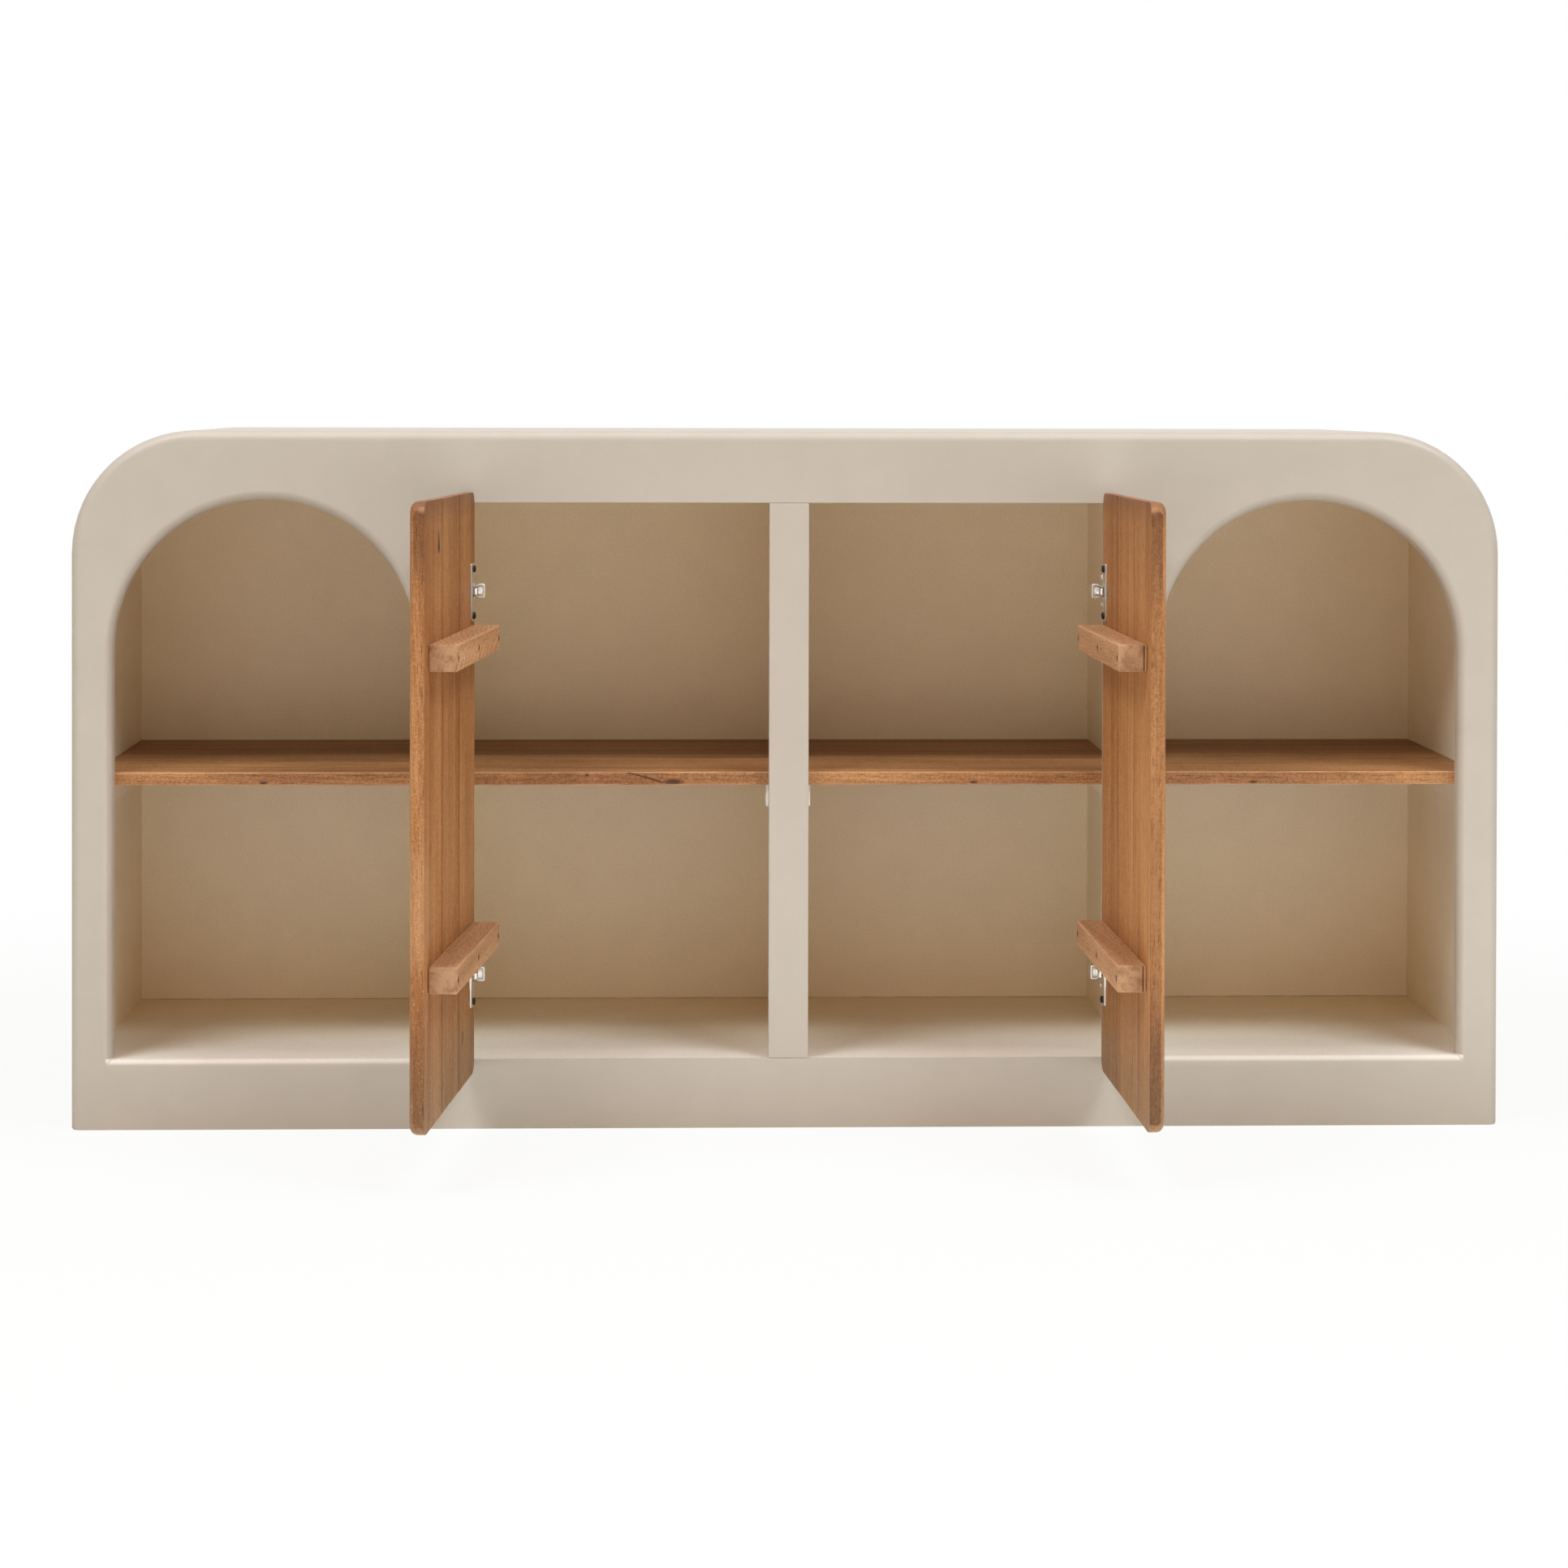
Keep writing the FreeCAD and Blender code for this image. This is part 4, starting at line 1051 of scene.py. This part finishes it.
class SIDEBOARD_OT_hinges(bpy.types.Operator):
    """Nickel cups with their screw strips, pressed arms, plates and pins"""
    bl_idname = "sideboard.hinges"
    bl_label = "Hinges"

    def execute(self, context):
        edge = context.scene.sideboard_hinges.edge
        finish = nickel_finish()
        for side_name, side in SIDES.items():
            body = side_name + "_door"
            rest = turn_to_rest(side)
            pins = [moved(pin_grid(group), rest)
                    for group in solid_groups(closed_points(body + "_hinge_pins", side), 20 * MM)]
            make_piece(body + "_pin_rods", pins, body, finish, [body + "_hinge_pins"])
            for level in LEVELS:
                node = body + "_" + level + "_hinge_cup"
                low, high = closed_box(node, side)
                parts = cup_grids(low, high, edge)
                rim = (high[1] - 1.2 * MM, high[1] - 0.5 * MM)
                # Painted shade: the cup below its rim and the strip's side wall are darkened, more in the
                # upper cup.
                painted_shade = [CUP_SHADE[level] * (1 - smooth_step(*rim, part[..., 1])) for part in parts]
                make_piece(node + "_pressing", [moved(part, rest) for part in parts], body, finish,
                           [node], worn=painted_shade)
                fixed = side_name + "_" + level
                softened_copy(fixed + "_hinge_plate", 0.2 * MM, "root", [finish])
                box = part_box(fixed + "_hinge_arm")
                parts = arm_grids(box, np.array(JOINTS[body]["pos_m"]), side, edge)
                painted_shade = [np.zeros(part.shape[:2]) for part in parts]
                # Painted shade in the recess and on the face of the arm.
                painted_shade[0][8:] = ARM_SHADE
                make_piece(fixed + "_arm_pressing", parts, "root", finish, [fixed + "_hinge_arm"],
                           worn=painted_shade)
        return {"FINISHED"}


def pin_grid(corners):
    """A round rod along Z with domed ends: a profile turned about the middle of the corners."""
    low, high = corners.min(0), corners.max(0)
    radius = (high[0] - low[0]) / 2
    dome = np.linspace(0, QUARTER, 5)
    radii = np.concatenate([radius * np.sin(dome), radius * np.cos(dome)])
    heights = np.concatenate([low[2] + radius * 0.5 * (1 - np.cos(dome)),
                              high[2] - radius * 0.5 * (1 - np.sin(dome))])
    return turned(radii, heights, np.linspace(0, FULL, 25), (low + high) / 2)


def cup_grids(low, high, edge):
    """A covered cup and the strip that carries its two screws. The drum is a profile turned about the middle
    of its slot: over the floor and up the wall at a given distance from the cup's own middle, back under the
    lid to the rounded rectangle of the slot, up through it and down outside. A place that far from the cup's
    middle lies, from the slot's middle, at the root of the distance squared less the offset's sine part
    squared, less its cosine part. The slot's rim is where the seventh powers of its shares across and up add
    to one."""
    wall, corner, cut = 0.6 * MM, 1.6 * MM, 3 * MM
    radius, floor, face = (high[0] - low[0]) / 2, low[1], high[1] - 1.5 * MM
    centre = (low + high) / 2
    reach, half = (-2.0 * MM, radius - 1.1 * MM), 5.5 * MM
    offset, long = sum(reach) / 2, (reach[1] - reach[0]) / 2
    angle = np.linspace(0, FULL, 97)
    bend = np.linspace(0, QUARTER, 5)

    def circle(from_middle):
        """How far a circle about the cup's middle lies from the slot's middle."""
        return np.sqrt(from_middle ** 2 - (offset * np.sin(angle)) ** 2) - offset * np.cos(angle)

    def slot(grow):
        """How far the slot's rim lies from its middle."""
        across, up = np.abs(np.cos(angle)) / (long + grow), np.abs(np.sin(angle)) / (half + grow)
        return (across ** 7 + up ** 7) ** (-1 / 7)

    def foot(outer, rounding, base, step):
        """A place on the quarter circle where the wall meets the floor."""
        return circle(outer - rounding * (1 - math.sin(step))), base + rounding * (1 - math.cos(step))

    rows = [(0 * angle, floor + wall)]
    rows += [foot(radius - wall, corner, floor + wall, step) for step in bend]
    rows += [(circle(radius - wall), face - wall), (slot(0), face - wall), (slot(0), face),
             (slot(edge), face + 0.1 * MM), (circle(radius - 0.3 * MM), face + 0.1 * MM),
             (circle(radius), face - 0.2 * MM)]
    rows += [foot(radius, corner + wall, floor, step) for step in bend[::-1]]
    rows.append((0 * angle, floor))
    radii, heights = zip(*rows)
    drum = turned(radii, heights, angle, (centre[0] + offset, centre[2]))[..., [0, 2, 1]]
    wide, tall = 11 * MM, (high[2] - low[2]) / 2
    outer = rounded_path(np.array([[wide, cut - tall], [wide, -tall], [-wide, -tall], [-wide, tall],
                                   [wide, tall], [wide, tall - cut]]), [cut] * 4)
    inner = rounded_path(np.array([[wide, -half], [wide - cut, -half], [reach[0], -half], [reach[0], half],
                                   [wide - cut, half], [wide, half]]), [cut, MM, MM, cut])
    return [drum, strip_grid(inner, outer, centre[[0, 2]], face, high[1], edge)]


def strip_grid(inner, outer, centre, low_y, high_y, edge):
    """A sheet round a slot: a section with rounded upper edges stands between each point of the inner outline
    and the same point of the outer one, and is carried along both."""
    turn = np.linspace(0, QUARTER, 5)
    pull = edge * (1 - np.sin(turn))
    lift = high_y - edge * (1 - np.cos(turn))
    across = outer - inner
    span = np.linalg.norm(across, axis=1, keepdims=True)
    across = across / span
    runs = [(0 * span, low_y)]
    runs += [(edge - drop, height) for drop, height in zip(pull[::-1], lift[::-1])]
    runs += [(span - (edge - drop), height) for drop, height in zip(pull, lift)]
    runs += [(span, low_y), (0 * span, low_y)]
    return capped(np.stack([upright(inner + across * along, height, centre) for along, height in runs], 1))


def capped(rings):
    """A tube of rings, closed at each end by the middle of its last ring."""
    caps = [rings[number].mean(1, keepdims=True).repeat(rings.shape[1], 1) for number in ([0], [-1])]
    return np.concatenate([caps[0], rings, caps[1]])


def sheet_strip(path, half_height, thickness, centre_z):
    """A strip of sheet standing on edge, whose section is a rounded rectangle carried along a path in plan,
    with a half height of its own at each point of the path."""
    step = np.gradient(path, axis=0)
    step /= np.linalg.norm(step, axis=1)[:, None]
    sideways = np.stack([step[:, 1], -step[:, 0]], 1)
    flat = np.linspace(-1, 1, 5)
    rings = []
    for spot, off, tall in zip(path, sideways, half_height):
        ring, _ = section(thickness / 2, tall, 0.4 * thickness, np.array([-1, 1]), flat, 3)
        rings.append(np.column_stack([spot + off * ring[:, :1], centre_z + ring[:, 1]]))
    return capped(np.array(rings))


def rounded_path(corners, radii):
    """Straight runs between corners, each of which is cut by a curve: at a share t of it, the square of 1
    less t of its start, twice t times 1 less t of the corner, and the square of t of its end."""
    t = np.linspace(0, 1, 7)[:, None]
    points = [corners[0]]
    for before, here, after, radius in zip(corners[:-2], corners[1:-1], corners[2:], radii):
        start = here + (before - here) / np.linalg.norm(before - here) * radius
        end = here + (after - here) / np.linalg.norm(after - here) * radius
        points.extend((1 - t) ** 2 * start + 2 * t * (1 - t) * here + t ** 2 * end)
    points.append(corners[-1])
    return np.array(points)


def arm_grids(box, pin, side, edge):
    """The fixed arm. Its body is an outline in the front plane, narrow at the seat and wider after a curved
    shoulder, drawn in row by row towards its middle: back, side, rounded rim, recess and domed face. A round
    link lies in the recess, a strip bends from it into the cup, and an eye closes round the pin. It is drawn
    for the right side."""
    low, high = (np.array(corner) for corner in box)
    if side < 0:
        low[0], high[0] = -high[0], -low[0]
    pin = pin * [side, 1, 1]
    centre_z = (low[2] + high[2]) / 2
    half, waist = (high[2] - low[2]) / 2, 5.2 * MM
    front, back, rim = ARM_FRONT, high[1], 0.8 * MM
    room, seat = low[0], pin[0] - 8.0 * MM
    neck, shoulder = seat - 1.8 * MM, seat - 5.6 * MM
    upper = [[seat, 0], [seat, waist], [neck, waist], [shoulder, half], [room, half]]
    corners = np.array(upper + [[x, -y] for x, y in upper[::-1]])
    outline = rounded_path(corners, np.array([0.5, 1.3, 1.6, 2.6, 2.6, 1.6, 1.3, 0.5]) * MM)
    middle = np.array([room + 6.3 * MM, 0])
    away = outline - middle
    distance = np.linalg.norm(away, axis=1, keepdims=True)
    rows = [(distance, back), (edge, back), (0, back - edge), (0, front + rim)]
    rows += [(rim * (1 - math.cos(step)), front + rim * (1 - math.sin(step)))
             for step in np.linspace(0, QUARTER, 4)[1:]]
    rows += [(1.4 * MM, front), (1.7 * MM, front + 0.3 * MM), (1.9 * MM, front + 1.0 * MM),
             (distance * 0.5, front + 0.8 * MM), (distance, front + 0.7 * MM)]
    body = np.array([upright(middle + away * (1 - inset / distance), depth, (0, centre_z))
                     for inset, depth in rows])
    angle = np.linspace(0, FULL, 33)
    leg_x = pin[0] - 13.05 * MM
    radii, depths = np.array([(0, 1.4), (3.7, 1.4), (3.7, 0.4), (3.5, 0.1), (3.1, 0), (2.4, 0), (2.0, 0.3),
                              (0, 0.4)]).T * MM
    link = turned(radii, front + depths, angle, (leg_x - 1.2 * MM, centre_z))[..., [0, 2, 1]]
    corners = np.array([[leg_x, front + 2.5 * MM], [leg_x, pin[1] - 2.2 * MM], pin[:2]])
    path = rounded_path(corners, [3.2 * MM])
    tall = 4 * MM - 0.5 * MM * np.sin(np.linspace(0, math.pi, len(path)))
    strip = sheet_strip(path, tall, 1.6 * MM, centre_z)
    radii, heights = np.array([(1.15, -4), (1.7, -4), (1.8, -3.8), (1.8, 3.8), (1.7, 4), (1.15, 4),
                               (1.15, -4)]).T * MM
    eye = turned(radii, centre_z + heights, angle, pin)
    return [grid * [side, 1, 1] for grid in (body, link, strip, eye)]


class SIDEBOARD_OT_screws(bpy.types.Operator):
    """Screws with cross recesses, blackened or nickel plated, in place of the plain ones"""
    bl_idname = "sideboard.screws"
    bl_label = "Screws"

    def execute(self, context):
        draw = np.random.default_rng(context.scene.sideboard_stage.seed + 3)
        dark = dark_finish()
        nickel = bpy.data.materials.get("Nickel Plate") or nickel_finish()
        for side_name, side in SIDES.items():
            body = side_name + "_door"
            for kind, screw in DOOR_SCREWS.items():
                turn_screws(body + "_" + kind + "_screws", body, "dark_screw", dark, turn_to_rest(side), draw,
                            *screw)
        for (node, screw), slot, finish in zip(ROOT_SCREWS.items(), ("nickel", "dark_screw"), (nickel, dark)):
            turn_screws(node, "root", slot, finish, Matrix(), draw, *screw)
        return {"FINISHED"}


def turn_screws(node, body, slot, finish, rest, draw, axis, radius, height, reach):
    """Puts a turned screw in the place of each solid of a node, with its head at the outer end of the axis:
    the rear, or whichever side faces the middle of the carcass."""
    grids = []
    for group in solid_groups(moved(node_points(node), rest.inverted()), reach):
        low, high = group.min(0), group.max(0)
        seat = (low + high) / 2
        outward = np.zeros(3)
        outward[axis] = 1.0 if axis == 1 or seat[0] < 0 else -1.0
        tip = high[axis] if outward[axis] > 0 else low[axis]
        seat[axis] = tip - outward[axis] * height * MM
        depth = high[axis] - low[axis] - height * MM
        grid = screw_grid(radius * MM, height * MM, depth, draw.uniform(0, math.pi))
        facing = Vector(outward).to_track_quat("Z", "Y").to_matrix().to_4x4()
        grids.append(moved(moved(grid, Matrix.Translation(seat) @ facing), rest))
    make_piece(node + "_turned", grids, body, finish, [node])


class SIDEBOARD_OT_stage(bpy.types.Operator):
    """A pale floor, soft studio light, a white surround and the camera"""
    bl_idname = "sideboard.stage"
    bl_label = "Stage"

    def execute(self, context):
        scene, stage, half = context.scene, context.scene.sideboard_stage, STUDIO_HALF
        scene.view_settings.view_transform = "Standard"
        mesh = bpy.data.meshes.new("studio_floor")
        mesh.from_pydata([(-half, -half, 0), (half, -half, 0), (half, half, 0), (-half, half, 0)], [],
                         [(0, 1, 2, 3)])
        mesh.materials.append(floor_finish(stage.floor))
        floor = bpy.data.objects.new("studio_floor", mesh)
        scene.collection.objects.link(floor)
        light_surround(scene, stage.sky)
        for name, (setting, *rest) in LIGHTS.items():
            add_light(scene, name, getattr(stage, setting), *rest)
        add_camera(scene, stage.lens)
        return {"FINISHED"}


def floor_finish(tone):
    """A floor that the camera sees nearly white, with the object's soft shadow kept."""
    material, shader, place = new_material("Studio Floor")
    tree = material.node_tree
    tree.nodes.remove(shader)
    tint = blend(noise(place, 6.0, 3.0) * 0.06, tone, (0.7, 0.68, 0.65))
    matt = made(tree, "ShaderNodeBsdfDiffuse", {"Color": tint})
    glow = made(tree, "ShaderNodeEmission", {"Color": WHITE, "Strength": 1.0})
    near = ease(vector_calc("LENGTH", place), 0.9, 2.2, 0.9, 1.0)
    seen = made(tree, "ShaderNodeLightPath", output="Is Camera Ray") * near
    mixed = made(tree, "ShaderNodeMixShader", {0: seen, 1: matt, 2: glow})
    feed(tree.nodes["Material Output"], {"Surface": mixed})
    return material


def light_surround(scene, strength):
    """White to the camera, in gloss and through glass, and an even pale light on everything else."""
    world = bpy.data.worlds.new("Studio Surround")
    scene.world = world
    world.use_nodes = True
    tree = world.node_tree
    tree.nodes.clear()
    path = tree.nodes.new("ShaderNodeLightPath").outputs
    seen = highest(Varying(path["Is Camera Ray"]), Varying(path["Is Transmission Ray"]))
    seen = highest(seen, Varying(path["Is Glossy Ray"]))
    even = made(tree, "ShaderNodeBackground", {"Color": (1.0, 0.8, 0.55, 1), "Strength": strength})
    white = made(tree, "ShaderNodeBackground", {"Color": WHITE, "Strength": 1.0})
    mixed = made(tree, "ShaderNodeMixShader", {0: seen, 1: even, 2: white})
    put(tree, "ShaderNodeOutputWorld", {"Surface": mixed})


def add_light(scene, name, watts, place, aim, size, tint):
    """A soft box, seen only by what it lights."""
    lamp = bpy.data.lights.new(name, "AREA")
    lamp.shape = "RECTANGLE"
    lamp.size, lamp.size_y = size
    lamp.energy = watts
    lamp.color = tint
    light = bpy.data.objects.new(name, lamp)
    light.location = place
    light.rotation_mode = "QUATERNION"
    light.rotation_quaternion = (Vector(aim) - Vector(place)).to_track_quat("-Z", "Y")
    light.visible_camera = False
    scene.collection.objects.link(light)


def add_camera(scene, lens):
    """The camera stands a little left of the middle and above the top, almost level, and its lens is shifted
    down."""
    yaw, pitch, roll = (math.radians(angle) for angle in CAMERA_TURN)
    forward = Vector((math.sin(yaw) * math.cos(pitch), math.cos(yaw) * math.cos(pitch), -math.sin(pitch)))
    level = Vector((math.cos(yaw), -math.sin(yaw), 0))
    overhead = level.cross(forward)
    right = level * math.cos(roll) + overhead * math.sin(roll)
    up = overhead * math.cos(roll) - level * math.sin(roll)
    data = bpy.data.cameras.new("studio_camera")
    data.sensor_width = 36.0
    data.lens = lens
    data.shift_x, data.shift_y = CAMERA_SHIFT
    data.clip_start, data.clip_end = 0.1, 60.0
    camera = bpy.data.objects.new("studio_camera", data)
    turn = Matrix((right, up, -forward)).transposed()
    camera.matrix_world = Matrix.Translation(CAMERA_PLACE) @ turn.to_4x4()
    scene.collection.objects.link(camera)
    scene.camera = camera


class SIDEBOARD_PT_panel(bpy.types.Panel):
    """Lists the sideboard's settings and the steps that dress it"""
    bl_idname = "SIDEBOARD_PT_panel"
    bl_label = "Sideboard"
    bl_space_type = "VIEW_3D"
    bl_region_type = "UI"
    bl_category = "Sideboard"

    def draw(self, context):
        for group in GROUPS:
            box = self.layout.box()
            for name in GROUPS[group].__annotations__:
                box.prop(getattr(context.scene, group), name)
        for step in STEPS:
            self.layout.operator(step.bl_idname)


GROUPS = {"sideboard_paint": SideboardPaint, "sideboard_wood": SideboardWood,
          "sideboard_hinges": SideboardHinges, "sideboard_stage": SideboardStage}
STEPS = (SIDEBOARD_OT_carcass, SIDEBOARD_OT_shelves, SIDEBOARD_OT_doors, SIDEBOARD_OT_battens,
         SIDEBOARD_OT_hinges, SIDEBOARD_OT_screws, SIDEBOARD_OT_stage)


def register():
    """Adds the settings to the scene, and the steps and the panel that lists them."""
    for name, group in GROUPS.items():
        bpy.utils.register_class(group)
        setattr(bpy.types.Scene, name, PointerProperty(type=group))
    for step in STEPS:
        bpy.utils.register_class(step)
    bpy.utils.register_class(SIDEBOARD_PT_panel)


def unregister():
    """Takes away what register added, in the opposite order."""
    bpy.utils.unregister_class(SIDEBOARD_PT_panel)
    for step in reversed(STEPS):
        bpy.utils.unregister_class(step)
    for name, group in reversed(GROUPS.items()):
        delattr(bpy.types.Scene, name)
        bpy.utils.unregister_class(group)


def main():
    """Dresses the sideboard step by step."""
    register()
    bpy.ops.sideboard.carcass()
    bpy.ops.sideboard.shelves()
    bpy.ops.sideboard.doors()
    bpy.ops.sideboard.battens()
    bpy.ops.sideboard.hinges()
    bpy.ops.sideboard.screws()
    bpy.ops.sideboard.stage()


if __name__ == "__main__":
    main()
